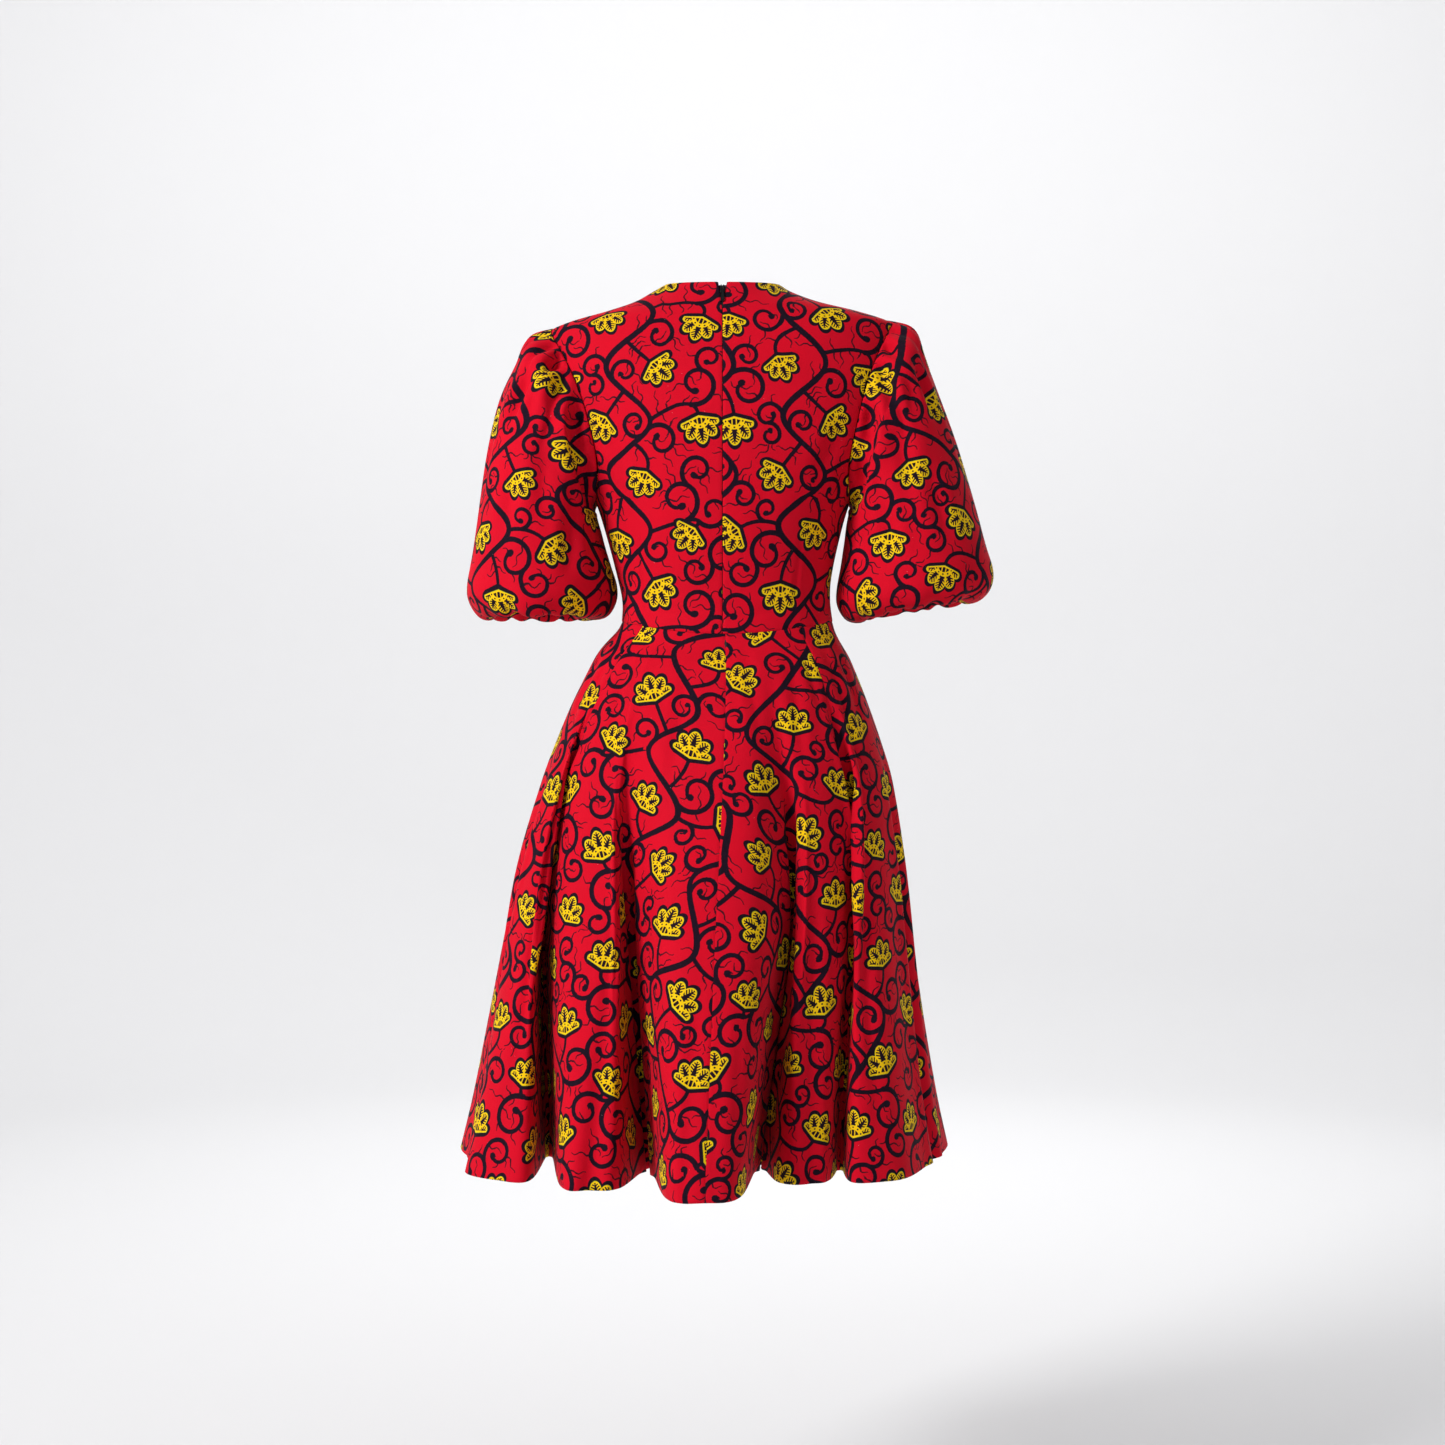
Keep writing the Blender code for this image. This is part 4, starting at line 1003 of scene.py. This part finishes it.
@lru_cache(maxsize=1)
def printed_cotton():
    """Wax printed cotton, plain woven: matte, dyed red, with near-black and yellow over it."""
    style = bpy.context.scene.dress_cloth
    material, tree, shader = new_material("wax printed cotton, plain woven")
    node = partial(add_node, tree)
    uv = node("UVMap", uv_map="cut")
    place = node("VectorMath.MULTIPLY", uv, (1000.0, 1000.0, 1000.0))
    spot = node("SeparateXYZ", place).node.outputs
    # The dye's edge wanders by about 0.25 mm
    wander = node("Math.MULTIPLY_ADD", node("TexNoise", place, None, 0.35, 2.0), 0.9, -0.45)

    # How far each place lies outside the nearest drawn lines
    lines = []
    for name in ("vine_a", "vine_b", "hair"):
        read = node("SeparateXYZ", node("Attribute", attribute_name=name, out=1)).node.outputs
        past = node("Math.POWER", node("Math.MAXIMUM", read[2], 0.0), 2.0)
        off = node("Math.SQRT", node("Math.ADD", node("Math.POWER", read[0], 2.0), past))
        lines.append(node("Math.SUBTRACT", off, read[1]))
    vine = node("Math.ADD", node("Math.MINIMUM", lines[0], lines[1]), wander)
    hair = node("Math.ADD", lines[2], node("Math.MULTIPLY", wander, 0.5))

    # A five-lobed blossom, in polar places from its base; below 0 is inside
    x, y, _ = node("SeparateXYZ", node("Attribute", attribute_name="blossom", out=1)).node.outputs
    r = node("Math.SQRT", node("Math.ADD", node("Math.POWER", x, 2.0), node("Math.POWER", y, 2.0)))
    turn = node("Math.ARCTAN2", x, y)
    wide = node("Math.ABSOLUTE", turn)
    lobe = radians(37)
    near = node("Math.MULTIPLY", node("Math.ROUND", node("Math.DIVIDE", turn, lobe)), lobe)
    off = node("Math.SUBTRACT", turn, near)
    bulge = node("Math.ABSOLUTE", node("Math.COSINE", node("Math.MULTIPLY", off, pi / lobe)))
    bulge = node("Math.POWER", bulge, 0.8)
    reach = node("Math.POWER", node("Math.DIVIDE", wide, pi / 2), 1.3)
    reach = node("Math.MULTIPLY_ADD", reach, -9.0, 28.0)
    reach = node("Math.MULTIPLY", reach, node("Math.MULTIPLY_ADD", bulge, 0.24, 0.76))
    base = node("Math.MULTIPLY", node("Math.ABSOLUTE", x), 0.30)
    base = node("Math.SUBTRACT", base, node("Math.ADD", y, 2.5))
    shape = node("Math.MAXIMUM", node("Math.SUBTRACT", r, reach), base)
    shape = node("Math.MULTIPLY_ADD", wander, 0.6, shape)

    # Each petal is inked with a spine and its barbs, the middle with dots and a cup
    side = node("Math.MULTIPLY", r, node("Math.ABSOLUTE", node("Math.SINE", off)))
    ridge = node("Math.SINE", node("Math.SUBTRACT", node("Math.ABSOLUTE", off), lobe / 2))
    ridge = node("Math.MULTIPLY", r, node("Math.ABSOLUTE", ridge))
    spine = node("Math.MULTIPLY", node("Math.SUBTRACT", reach, r), 0.22)
    spine = node("Math.ADD", node("Math.SUBTRACT", side, spine), 0.1)
    barb = node("Math.SUBTRACT", r, node("Math.MULTIPLY", side, 0.8))
    barb = node("Math.SINE", node("Math.MULTIPLY", barb, 2 * pi / 3.1))
    barb = node("Math.MULTIPLY_ADD", barb, 1.6, 0.65, use_clamp=True)
    barb = node("Math.MULTIPLY", barb, node("Math.MULTIPLY_ADD", ridge, 2.5, -1.9, use_clamp=True))
    hatch = node("Math.MAXIMUM", node("Math.MULTIPLY_ADD", spine, -2.0, 0.5, use_clamp=True), barb)
    inner = node("Math.MULTIPLY_ADD", shape, -1.7, -2.7, use_clamp=True)
    hatch = node("Math.MULTIPLY", hatch, inner)
    hatch = node("Math.MULTIPLY", hatch, node("Math.MULTIPLY_ADD", r, 2.5, -28.0, use_clamp=True))
    dots = node("Math.SINE", node("Math.MULTIPLY", turn, 5.0))
    dots = node("Math.POWER", node("Math.MULTIPLY", dots, 1.75), 2.0)
    dots = node("Math.ADD", dots, node("Math.POWER", node("Math.SUBTRACT", r, 9.2), 2.0))
    dots = node("Math.MULTIPLY_ADD", dots, -1.4, 1.7, use_clamp=True)
    dots = node("Math.MULTIPLY", dots, node("Math.LESS_THAN", wide, 1.4))
    cup = node("Math.MULTIPLY_ADD", r, -2.0, 14.0, use_clamp=True)
    cup = node("Math.MULTIPLY", cup, node("Math.MULTIPLY_ADD", base, -2.0, -4.3, use_clamp=True))
    split = node("Math.ABSOLUTE", node("Math.SUBTRACT", node("Math.ABSOLUTE", x), 2.2))
    cup = node("Math.MULTIPLY", cup, node("Math.MULTIPLY_ADD", split, 2.5, -0.9, use_clamp=True))
    inked = node("Math.MAXIMUM", node("Math.MAXIMUM", hatch, dots), cup)

    # Each dye varies slowly over the cloth
    slow = node("TexNoise", place, None, 0.018, 3.0)
    fine = node("TexNoise", place, None, 0.9, 2.0)
    red = node("MixRGB", slow, hex_colour("c20220"), (*style.red, 1.0))
    red = node("MixRGB", node("Math.MULTIPLY", fine, 0.16), red, hex_colour("ee0e36"))
    dark = node("MixRGB", slow, hex_colour("0f0712"), (*style.dark, 1.0))
    deep = node("Math.MULTIPLY", slow, 0.6)
    yellow = node("MixRGB", deep, (*style.yellow, 1.0), hex_colour("e6a800"))
    # Yellow laid over the edge of the dark dye shows a little green
    rim = node("Math.ABSOLUTE", node("Math.ADD", shape, 0.1))
    rim = node("Math.MULTIPLY_ADD", rim, -2.0, 1.2, use_clamp=True)
    yellow = node("MixRGB", node("Math.MULTIPLY", rim, 0.75), yellow, hex_colour("8fae2c"))
    colour = red
    for away, steep, start, cover, dye in (
        (vine, -2.3, 0.5, 1.0, dark), (hair, -2.3, 0.5, 0.95, dark),
        (shape, -2.0, 9.0, 1.0, dark), (shape, -2.5, 0.5, 1.0, yellow),
    ):
        share = node("Math.MULTIPLY_ADD", away, steep, start, use_clamp=True)
        colour = node("MixRGB", node("Math.MULTIPLY", share, cover), colour, dye)
    colour = node("MixRGB", inked, colour, dark)
    # A few specks of white lint, about 0.4 mm
    lint = node("Math.LESS_THAN", node("TexVoronoi", place, None, 0.085), 0.019)
    colour = node("MixRGB", node("Math.MULTIPLY", lint, 0.6), colour, hex_colour("e8d8dc"))

    # Plain weave, about 3 threads to 1 mm in the real cloth and drawn at 0.7 mm so that it shows
    warp = node("Math.SINE", node("Math.MULTIPLY", spot[0], 2 * pi / 0.7))
    weft = node("Math.SINE", node("Math.MULTIPLY", spot[1], 2 * pi / 0.7))
    weave = node("Math.MULTIPLY", warp, weft)
    drawn = node("VectorMath.MULTIPLY", place, (0.25, 2.2, 1.0))
    slub = node("TexNoise", drawn, None, 1.0, 2.0)
    height = node("Math.MULTIPLY_ADD", slub, 0.5, node("Math.MULTIPLY", weave, 0.25))
    crumple = node("TexNoise", place, None, 0.06, 3.0)
    height = node("Math.MULTIPLY_ADD", crumple, 3.5, height)
    bump = node("Bump", 0.35, 0.0003, None, height)
    tree.links.new(colour, shader.inputs["Base Color"])
    tree.links.new(bump, shader.inputs["Normal"])
    tree.links.new(node("Math.MULTIPLY_ADD", slow, 0.12, 0.74), shader.inputs["Roughness"])
    shader.inputs["IOR"].default_value = 1.46
    shader.inputs["Specular IOR Level"].default_value = 0.11
    shader.inputs["Sheen Weight"].default_value = 0.02
    shader.inputs["Sheen Roughness"].default_value = 0.5
    return material


@lru_cache(maxsize=1)
def zip_tape():
    """Knitted polyester tape: matte black, with fine ribs along it."""
    material, tree, shader = new_material("knitted polyester zip tape, black")
    place = add_node(tree, "TexCoord", out=3)
    ribs = add_node(tree, "TexWave", place, 900.0, 1.0, 2.0, bands_direction="X", out=1)
    bump = add_node(tree, "Bump", 0.5, 0.0001, None, ribs)
    colour = add_node(tree, "TexNoise", place, None, 400.0, 2.0)
    ramp = add_node(tree, "ValToRGB", colour)
    ramp.node.color_ramp.elements[0].color = hex_colour("0d0d10")
    ramp.node.color_ramp.elements[1].color = hex_colour("1c1c20")
    tree.links.new(ramp, shader.inputs["Base Color"])
    tree.links.new(bump, shader.inputs["Normal"])
    shader.inputs["Roughness"].default_value = 0.85
    shader.inputs["Sheen Weight"].default_value = 0.1
    return material


@lru_cache(maxsize=1)
def zip_nylon():
    """Nylon monofilament: black, with a soft gloss."""
    material, tree, shader = new_material("nylon monofilament, black")
    shader.inputs["Base Color"].default_value = hex_colour("101013")
    place = add_node(tree, "TexCoord", out=3)
    grain = add_node(tree, "TexNoise", place, None, 1500.0, 1.0)
    rough = add_node(tree, "Math.MULTIPLY_ADD", grain, 0.2, 0.28)
    tree.links.new(rough, shader.inputs["Roughness"])
    shader.inputs["IOR"].default_value = 1.53
    return material


@lru_cache(maxsize=1)
def zip_enamel():
    """Baked enamel on die-cast zinc: black, smooth, a little orange-peeled."""
    material, tree, shader = new_material("baked enamel on die-cast zinc, black")
    shader.inputs["Base Color"].default_value = hex_colour("0b0b0d")
    place = add_node(tree, "TexCoord", out=3)
    peel = add_node(tree, "TexNoise", place, None, 900.0, 2.0)
    bump = add_node(tree, "Bump", 0.12, 0.0001, None, peel)
    tree.links.new(bump, shader.inputs["Normal"])
    rough = add_node(tree, "Math.MULTIPLY_ADD", peel, 0.16, 0.22)
    tree.links.new(rough, shader.inputs["Roughness"])
    shader.inputs["IOR"].default_value = 1.5
    return material


def declare_cloth(plan):
    """Works out the piece's cut, its flat width and length and area, from its plan, and does
    nothing more with them.
    """
    width = float(np.ptp(plan[..., 0])) / 1000
    length = float(np.ptp(plan[..., 1])) / 1000
    a, b = plan[1:, :-1] - plan[:-1, 1:], plan[1:, 1:] - plan[:-1, :-1]
    area = abs(float((a[..., 0] * b[..., 1] - a[..., 1] * b[..., 0]).sum())) / 2e6
    area = min(max(area, 0.3 * width * length), width * length)


def size_of(name, default, low, high, description):
    return FloatProperty(
        name=name, description=description, default=default, min=low, max=high, unit="LENGTH"
    )


def dye_of(name, default, description):
    default = hex_colour(default)[:3]
    return FloatVectorProperty(
        name=name, description=description, default=default, size=3, subtype="COLOR"
    )


class DressCloth(bpy.types.PropertyGroup):
    """Sizes and dyes of the printed cotton."""

    wall: size_of("Wall", 0.0009, 0.0003, 0.003, "Thickness of the cloth as drawn")
    bodice_step: size_of("Bodice step", 0.003, 0.002, 0.02, "Faces on bodice and sleeves")
    skirt_step: size_of("Skirt step", 0.0038, 0.003, 0.03, "Faces on the skirt")
    hem: size_of("Hem", 0.012, 0.004, 0.04, "Width of the hem that is turned in")
    red: dye_of("Red", "da0420", "Colour of the ground")
    yellow: dye_of("Yellow", "f7cf10", "Colour of the blossoms")
    dark: dye_of("Dark", "200e22", "Colour of the vines")


class DressStage(bpy.types.PropertyGroup):
    """The camera and the floor."""

    lens: FloatProperty(
        name="Lens", description="Focal length in mm on a 36 mm sensor", default=53.4, min=20,
        max=200,
    )
    distance: size_of("Distance", 2.4, 0.5, 20, "From the camera to the middle of the dress")
    height: size_of("Height", -0.487, -5, 5, "The camera's height")
    floor: size_of("Floor", -1.46, -5, 0, "The floor's height")


def bodice_quarter(side, back, step):
    """A quarter of the bodice: rows from the waist up, columns from the side to the centre."""
    neck = acos(NECK_HALF / armhole_point(side, 1, 0.0)[0]) / (pi / 2)
    shares = spaced(0.0, neck, 0.135, step, (True, False))
    shares += spaced(neck, 1.0, 0.070, step, (False, back > 0))[1:]
    ups = spaced(0.0, 12.0, 0.37, step, (True, True))
    grid = np.array([[bodice_point(side, back, share, up) for share in shares] for up in ups])
    return grid, shares, ups


class DRESS_OT_bodice(bpy.types.Operator):
    """The two back halves, open along the zip, and the front with its scooped neck"""

    bl_idname = "dress.bodice"
    bl_label = "Bodice"

    def execute(self, context):
        style = context.scene.dress_cloth
        for side, name in ((1, "bodice_back_left"), (-1, "bodice_back_right")):
            grid, shares, ups = bodice_quarter(side, 1, style.bodice_step)
            line = grid[:, -1]
            share = np.clip((line[:, 2] + NECK_DROP_BACK) / -NOTCH_LENGTH, 0, 1)
            open_by = NOTCH_HALF * (1 - share) ** 1.4 + EDGES_APART
            for j in range(grid.shape[1]):  # the slit draws the cloth beside it open too
                near = np.exp(-((np.abs(grid[:, j, 0]) / NOTCH_DRAW) ** 2))
                grid[:, j, 0] += side * open_by * near
            self.make(name, grid, shares, ups, style, zipped=True, flip=side < 0)
        left, shares, ups = bodice_quarter(1, -1, style.bodice_step)
        right, others, _ = bodice_quarter(-1, -1, style.bodice_step)
        front = np.concatenate([left, right[:, -2::-1]], 1)
        shares = [*shares, *(2 - share for share in others[-2::-1])]
        self.make("bodice_front", front, shares, ups, style, flip=True)
        return {"FINISHED"}

    def make(self, name, grid, shares, ups, style, zipped=False, flip=False):
        across = lengths_along(grid, 1)
        if zipped:
            across = across[:, -1:] - across
            across = across if not flip else -across
        else:
            middle = grid.shape[1] // 2
            across = across[:, middle : middle + 1] - across
        up = lengths_along(grid, 0)
        plan = laid_flat(grid, np.stack([across, up], 2) * 1000, shares, ups, stride=5)
        middle = int(np.argmin(np.abs(across[0])))
        plan -= plan[0, middle]
        plan = upright(plan, plan[len(ups) // 2, middle])
        normals = outward_normals(grid)
        if flip:
            normals = -normals
        if (normals[..., 1] * grid[..., 1]).mean() < 0:
            normals = -normals
        across = lengths_along(grid, 1)
        for away in (across, across[:, -1:] - across, up):
            grid = roll_in(grid, normals, away)
        grid = grid + normals * creased(plan, CREASES.get(name, ()))[..., None]
        thing = cloth_piece(name, grid, plan, style.wall, inside_out=flip)
        declare_cloth(plan)


class DRESS_OT_sleeves(bpy.types.Operator):
    """The puff sleeves, gathered at the cap and at the hem, which turns inside"""

    bl_idname = "dress.sleeves"
    bl_label = "Sleeves"

    def execute(self, context):
        style = context.scene.dress_cloth
        for side, name, rows, cap_seed, hem_seed in (
            (1, "sleeve_left", SLEEVE_LEFT, 5, 15), (-1, "sleeve_right", SLEEVE_RIGHT, 9, 19)
        ):
            count = ceil(SLEEVE_ROUND / 1000 / style.bodice_step)
            turns = np.linspace(-pi, pi, count + 1)
            rings = [np.array([sleeve_start(side, t % (2 * pi)) for t in turns])]
            for row in rows:
                outer = np.array((side * row.outer_x, 0.0, row.outer_z))
                inner = np.array((side * row.inner_x, 0.0, row.inner_z))
                depth = np.where(turns >= 0, row.back, row.front) * np.sin(turns)
                ring = (outer + inner) / 2 + (outer - inner) / 2 * np.cos(turns)[:, None]
                ring[:, 1] += depth
                rings.append(ring)
            rings = np.array(rings)
            gaps = np.linalg.norm(np.diff(rings, axis=0), axis=2).max(1)
            fine = [rings[0]]
            start_of = []
            last = len(rings) - 1
            for i in range(last):
                start_of.append(len(fine) - 1)
                a, b, c, d = (rings[min(max(j, 0), last)] for j in (i - 1, i, i + 1, i + 2))
                n = max(round(gaps[i] / style.bodice_step), 2)
                fine += [through(a, b, c, d, s) for s in np.arange(1, n + 1) / n]
            grid = smooth = np.array(fine)
            normals = outward_normals(grid, closed=True)
            centre = grid.mean(1, keepdims=True)
            if ((grid - centre) * normals).sum(2).mean() < 0:
                normals = -normals
            down = lengths_along(grid, 0) * 1000
            around = np.broadcast_to(turns / (2 * pi) * SLEEVE_ROUND, down.shape)
            # The cap puffs out below its gathers, which lie over the shoulder
            top = np.exp(-((turns / CAP_HALF) ** 2))
            cap = gathers(around, down, cap_seed, spacing=20, depth=7.5, reach=66) * top
            puff = np.exp(-(((down - PUFF_PLACE) / PUFF_HALF) ** 2))
            puff = puff * (0.3 + 0.7 * np.sin(turns) ** 2)
            cap += PUFF_DEPTH * puff * (1 - 0.5 * (np.abs(turns) > 2.2))
            # The hem is drawn in between its puffs, most of all on the outside
            hem = down[-1:] - down
            away = np.maximum(hem - 6, 0.0)
            low = gathers(around, away, hem_seed, spacing=36, depth=8.5, reach=64)
            low *= eased(hem / 22) * (0.66 + 0.34 * np.cos(turns))
            # Under the arm the sleeve fills out towards the bodice
            inner = np.exp(-(((pi - np.abs(turns)) / INNER_HALF) ** 2))
            inner = INNER_DEPTH * inner * eased(down / 22) * eased((hem - 20) / 25)
            grid = grid + normals * (cap + low + inner)[..., None]
            grid = roll_in(grid, normals, down / 1000)
            plan = np.stack([around, hem], 2)
            body = start_of[TURNING_RING] + 1  # the rows above the part that turns inside
            upper = laid_flat(smooth[:body], plan[:body], turns, np.arange(body), stride=7)
            centre = (len(turns) - 1) // 2
            lean = upper[body // 3, centre] - upper[body - 1, centre]
            upper = upright(upper - upper[-1, centre], lean)
            turned = hem[body - 1] - hem[body:]
            below = upper[-1] - np.stack([np.zeros_like(turned), turned], 2)
            plan = np.concatenate([upper, below])
            near = eased(hem / 60) * eased(down / 12)
            grid = grid + normals * (creased(plan, CREASES[name]) * near)[..., None]
            thing = cloth_piece(name, grid, plan, style.wall, closed=True, inside_out=side > 0)
            declare_cloth(plan)
        return {"FINISHED"}


class DRESS_OT_skirt(bpy.types.Operator):
    """The five panels of the skirt, in deep folds, with their turned hem"""

    bl_idname = "dress.skirt"
    bl_label = "Skirt"

    def execute(self, context):
        style = context.scene.dress_cloth
        for name, first, last in SKIRT_PANELS:
            first, last = first - OVERLAP, last + OVERLAP
            places = spaced(first, last, (last - first) * 0.054, style.skirt_step)
            downs = spaced(0.0, 1.0, 0.60, style.skirt_step, (True, False))
            wide = [first - 0.01, *places, last + 0.01]
            grid = np.array([[skirt_point(place, down) for place in wide] for down in downs])
            normals = outward_normals(grid)[:, 1:-1]
            grid = grid[:, 1:-1]
            outward = grid - np.array((0.01, 0.0, 0.0))
            if (normals[..., :2] * outward[..., :2]).sum(2).mean() < 0:
                normals = -normals
            relief = skirt_relief(places, downs, lengths_along(grid, 1))
            grid = grid + normals * relief[..., None]
            across = lengths_along(grid, 1)
            middle = int(np.argmin(np.abs(np.array(places) - (first + last) / 2)))
            from_middle = across - across[:, middle : middle + 1]
            down = lengths_along(grid, 0)
            line = down[:, middle]
            width = across[:, -1]
            # A gore is cut as part of a ring, as wide at the waist and hem as its edges
            radius = line[-1] * width[0] / (width[-1] - width[0])
            far = radius + line[:, None]
            angle = from_middle / far
            plan = np.stack([far * np.sin(angle), far * np.cos(angle) - radius], 2) * 1000
            for away in (across, across[:, -1:] - across, down):
                grid = roll_in(grid, normals, away)
            hemmed, whole = turned_edge(grid, plan, normals, style.hem, steps=3)
            thing = cloth_piece(name, hemmed, whole, style.wall, inside_out=True)
            declare_cloth(plan)
        return {"FINISHED"}


def keep_node(name, material):
    """Gives a CAD node that stays its finish."""
    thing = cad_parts[name]
    for slot in thing.material_slots:
        slot.material = material
    if not thing.material_slots:
        thing.data.materials.append(material)


class DRESS_OT_zip(bpy.types.Operator):
    """The zip's tapes, coils, slider and pull tab"""

    bl_idname = "dress.zip"
    bl_label = "Zip"

    def execute(self, context):
        for name in ("zip_tape_left", "zip_tape_right"):
            keep_node(name, zip_tape())
        for name in ("zip_slider", "zip_pull_tab"):
            keep_node(name, zip_enamel())
        for side, name in ((1, "zip_coil_left"), (-1, "zip_coil_right")):
            self.coil(name, side)
        return {"FINISHED"}

    def coil(self, name, side):
        """One side's coil: a monofilament wound along the tape's edge, apart above the slider."""
        curve = bpy.data.curves.new(name, "CURVE")
        curve.dimensions = "3D"
        curve.bevel_depth = WIRE_HALF
        curve.bevel_resolution = 2
        high = TAPE_TOP - 0.0008
        steps = int((high - COIL_END) / COIL_PITCH * COIL_FACETS)
        wire = [
            (high + (COIL_END - high) * i / steps, COIL_HALF, 2 * pi * i / COIL_FACETS)
            for i in range(steps + 1)
        ]
        core = [high, SLIDER_Z, *np.linspace(SLIDER_Z - 0.006, CORE_END, 48)]
        for places, radius in ((wire, 1.0), ([(z, 0.0, 0.0) for z in core], 2.1)):
            line = curve.splines.new("POLY")
            line.points.add(len(places) - 1)
            for (z, half, turn), point in zip(places, line.points):
                apart = 0.0005 + 0.0028 * float(eased((z - SLIDER_Z - 0.002) / 0.010))
                y = body_y(0.0, z, 1) - (WALL + TAPE_GAP) + 0.0003
                point.co = (side * (apart + half * cos(turn)), y + half * sin(turn), z, 1.0)
                point.radius = radius
        wound = add_object(name, curve)
        bpy.context.view_layer.update()
        mesh = bpy.data.meshes.new_from_object(
            wound.evaluated_get(bpy.context.evaluated_depsgraph_get())
        )
        bpy.data.objects.remove(wound)
        thing = add_object(name, mesh)
        mesh.shade_smooth()
        mesh.materials.clear()
        mesh.materials.append(zip_nylon())
        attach(thing, "garment")


class DRESS_OT_stage(bpy.types.Operator):
    """A plain pale floor that curves up into a backdrop, soft studio light and the camera"""

    bl_idname = "dress.stage"
    bl_label = "Stage"

    def execute(self, context):
        scene = context.scene
        style = scene.dress_stage
        scene.view_settings.view_transform = "Standard"
        # Seamless paper: matte, nearly white
        paper, _, shader = new_material("seamless studio paper, matte white")
        shader.inputs["Roughness"].default_value = 0.9
        shader.inputs["Specular IOR Level"].default_value = 0.1
        shader.inputs["Base Color"].default_value = hex_colour("dededf")
        # The floor is a disc whose rim is drawn out and up, round a bend, into the backdrop
        bm = bmesh.new()
        bmesh.ops.create_circle(bm, cap_ends=True, radius=FLOOR_RADIUS, segments=96)
        bmesh.ops.translate(bm, vec=(0.0, 0.0, style.floor), verts=bm.verts)
        rim = [edge for edge in bm.edges if edge.is_boundary]
        for i in range(BEND_STEPS + 1):
            turn = pi / 2 * min(i + 1, BEND_STEPS) / BEND_STEPS
            rise = BEND_RADIUS * (1 - cos(turn)) + (BACKDROP_HEIGHT if i == BEND_STEPS else 0.0)
            radius = FLOOR_RADIUS + BEND_RADIUS * sin(turn)
            made = bmesh.ops.extrude_edge_only(bm, edges=rim)["geom"]
            verts = [item for item in made if isinstance(item, bmesh.types.BMVert)]
            rim = [item for item in made if isinstance(item, bmesh.types.BMEdge)]
            for vert in verts:
                grown = radius / hypot(vert.co.x, vert.co.y)
                vert.co = (vert.co.x * grown, vert.co.y * grown, style.floor + rise)
        bmesh.ops.recalc_face_normals(bm, faces=bm.faces)
        self.link("floor", bm, paper)
        world = scene.world or bpy.data.worlds.new("studio")
        scene.world = world
        world.use_nodes = True
        sky = world.node_tree.nodes["Background"]
        sky.inputs[0].default_value = hex_colour("f4f4f6")
        sky.inputs[1].default_value = 0.22
        for name, place, target, size, power in (
            ("key", (2.6, 2.1, 1.3), (0.0, 0.0, -0.45), 1.0, 124),
            ("fill", (-2.4, 2.2, 0.4), (0.0, 0.0, -0.5), 1.8, 7),
            ("front", (-0.8, -2.8, 1.2), (0.0, 0.0, -0.4), 1.6, 30),
            ("backdrop", (0.0, -1.6, 2.4), (0.0, -4.9, -0.2), 2.6, 112),
        ):
            data = bpy.data.lights.new(name, "AREA")
            data.size = size
            data.energy = power
            light = add_object(name, data)
            light.visible_camera = False
            light.location = place
            way = Vector(target) - Vector(place)
            light.rotation_euler = way.to_track_quat("-Z", "Y").to_euler()
        data = bpy.data.cameras.new("camera")
        data.lens = style.lens
        data.sensor_width = 36.0
        data.clip_end = 50.0
        camera = add_object("camera", data)
        camera.location = (0.0, style.distance, style.height)
        camera.rotation_euler = (pi / 2, 0.0, pi)
        scene.camera = camera
        return {"FINISHED"}

    def link(self, name, bm, material):
        mesh = bpy.data.meshes.new(name)
        bm.to_mesh(mesh)
        bm.free()
        mesh.shade_smooth()
        mesh.materials.append(material)
        add_object(name, mesh)


OPERATORS = (DRESS_OT_bodice, DRESS_OT_sleeves, DRESS_OT_skirt, DRESS_OT_zip, DRESS_OT_stage)


class DRESS_PT_panel(bpy.types.Panel):
    """Lists the dress's pieces and sizes"""

    bl_label = "Wax Print Dress"
    bl_idname = "DRESS_PT_panel"
    bl_space_type = "VIEW_3D"
    bl_region_type = "UI"
    bl_category = "Dress"

    def draw(self, context):
        for group in (context.scene.dress_cloth, context.scene.dress_stage):
            box = self.layout.box()
            for name in group.__annotations__:
                box.prop(group, name)
        for operator in OPERATORS:
            self.layout.operator(operator.bl_idname)


CLASSES = (DressCloth, DressStage, *OPERATORS, DRESS_PT_panel)


def register():
    for cls in CLASSES:
        bpy.utils.register_class(cls)
    bpy.types.Scene.dress_cloth = PointerProperty(type=DressCloth)
    bpy.types.Scene.dress_stage = PointerProperty(type=DressStage)


def unregister():
    del bpy.types.Scene.dress_stage
    del bpy.types.Scene.dress_cloth
    for cls in reversed(CLASSES):
        bpy.utils.unregister_class(cls)


def main():
    register()
    bpy.ops.dress.bodice()
    bpy.ops.dress.sleeves()
    bpy.ops.dress.skirt()
    bpy.ops.dress.zip()
    bpy.ops.dress.stage()


if __name__ == "__main__":
    main()
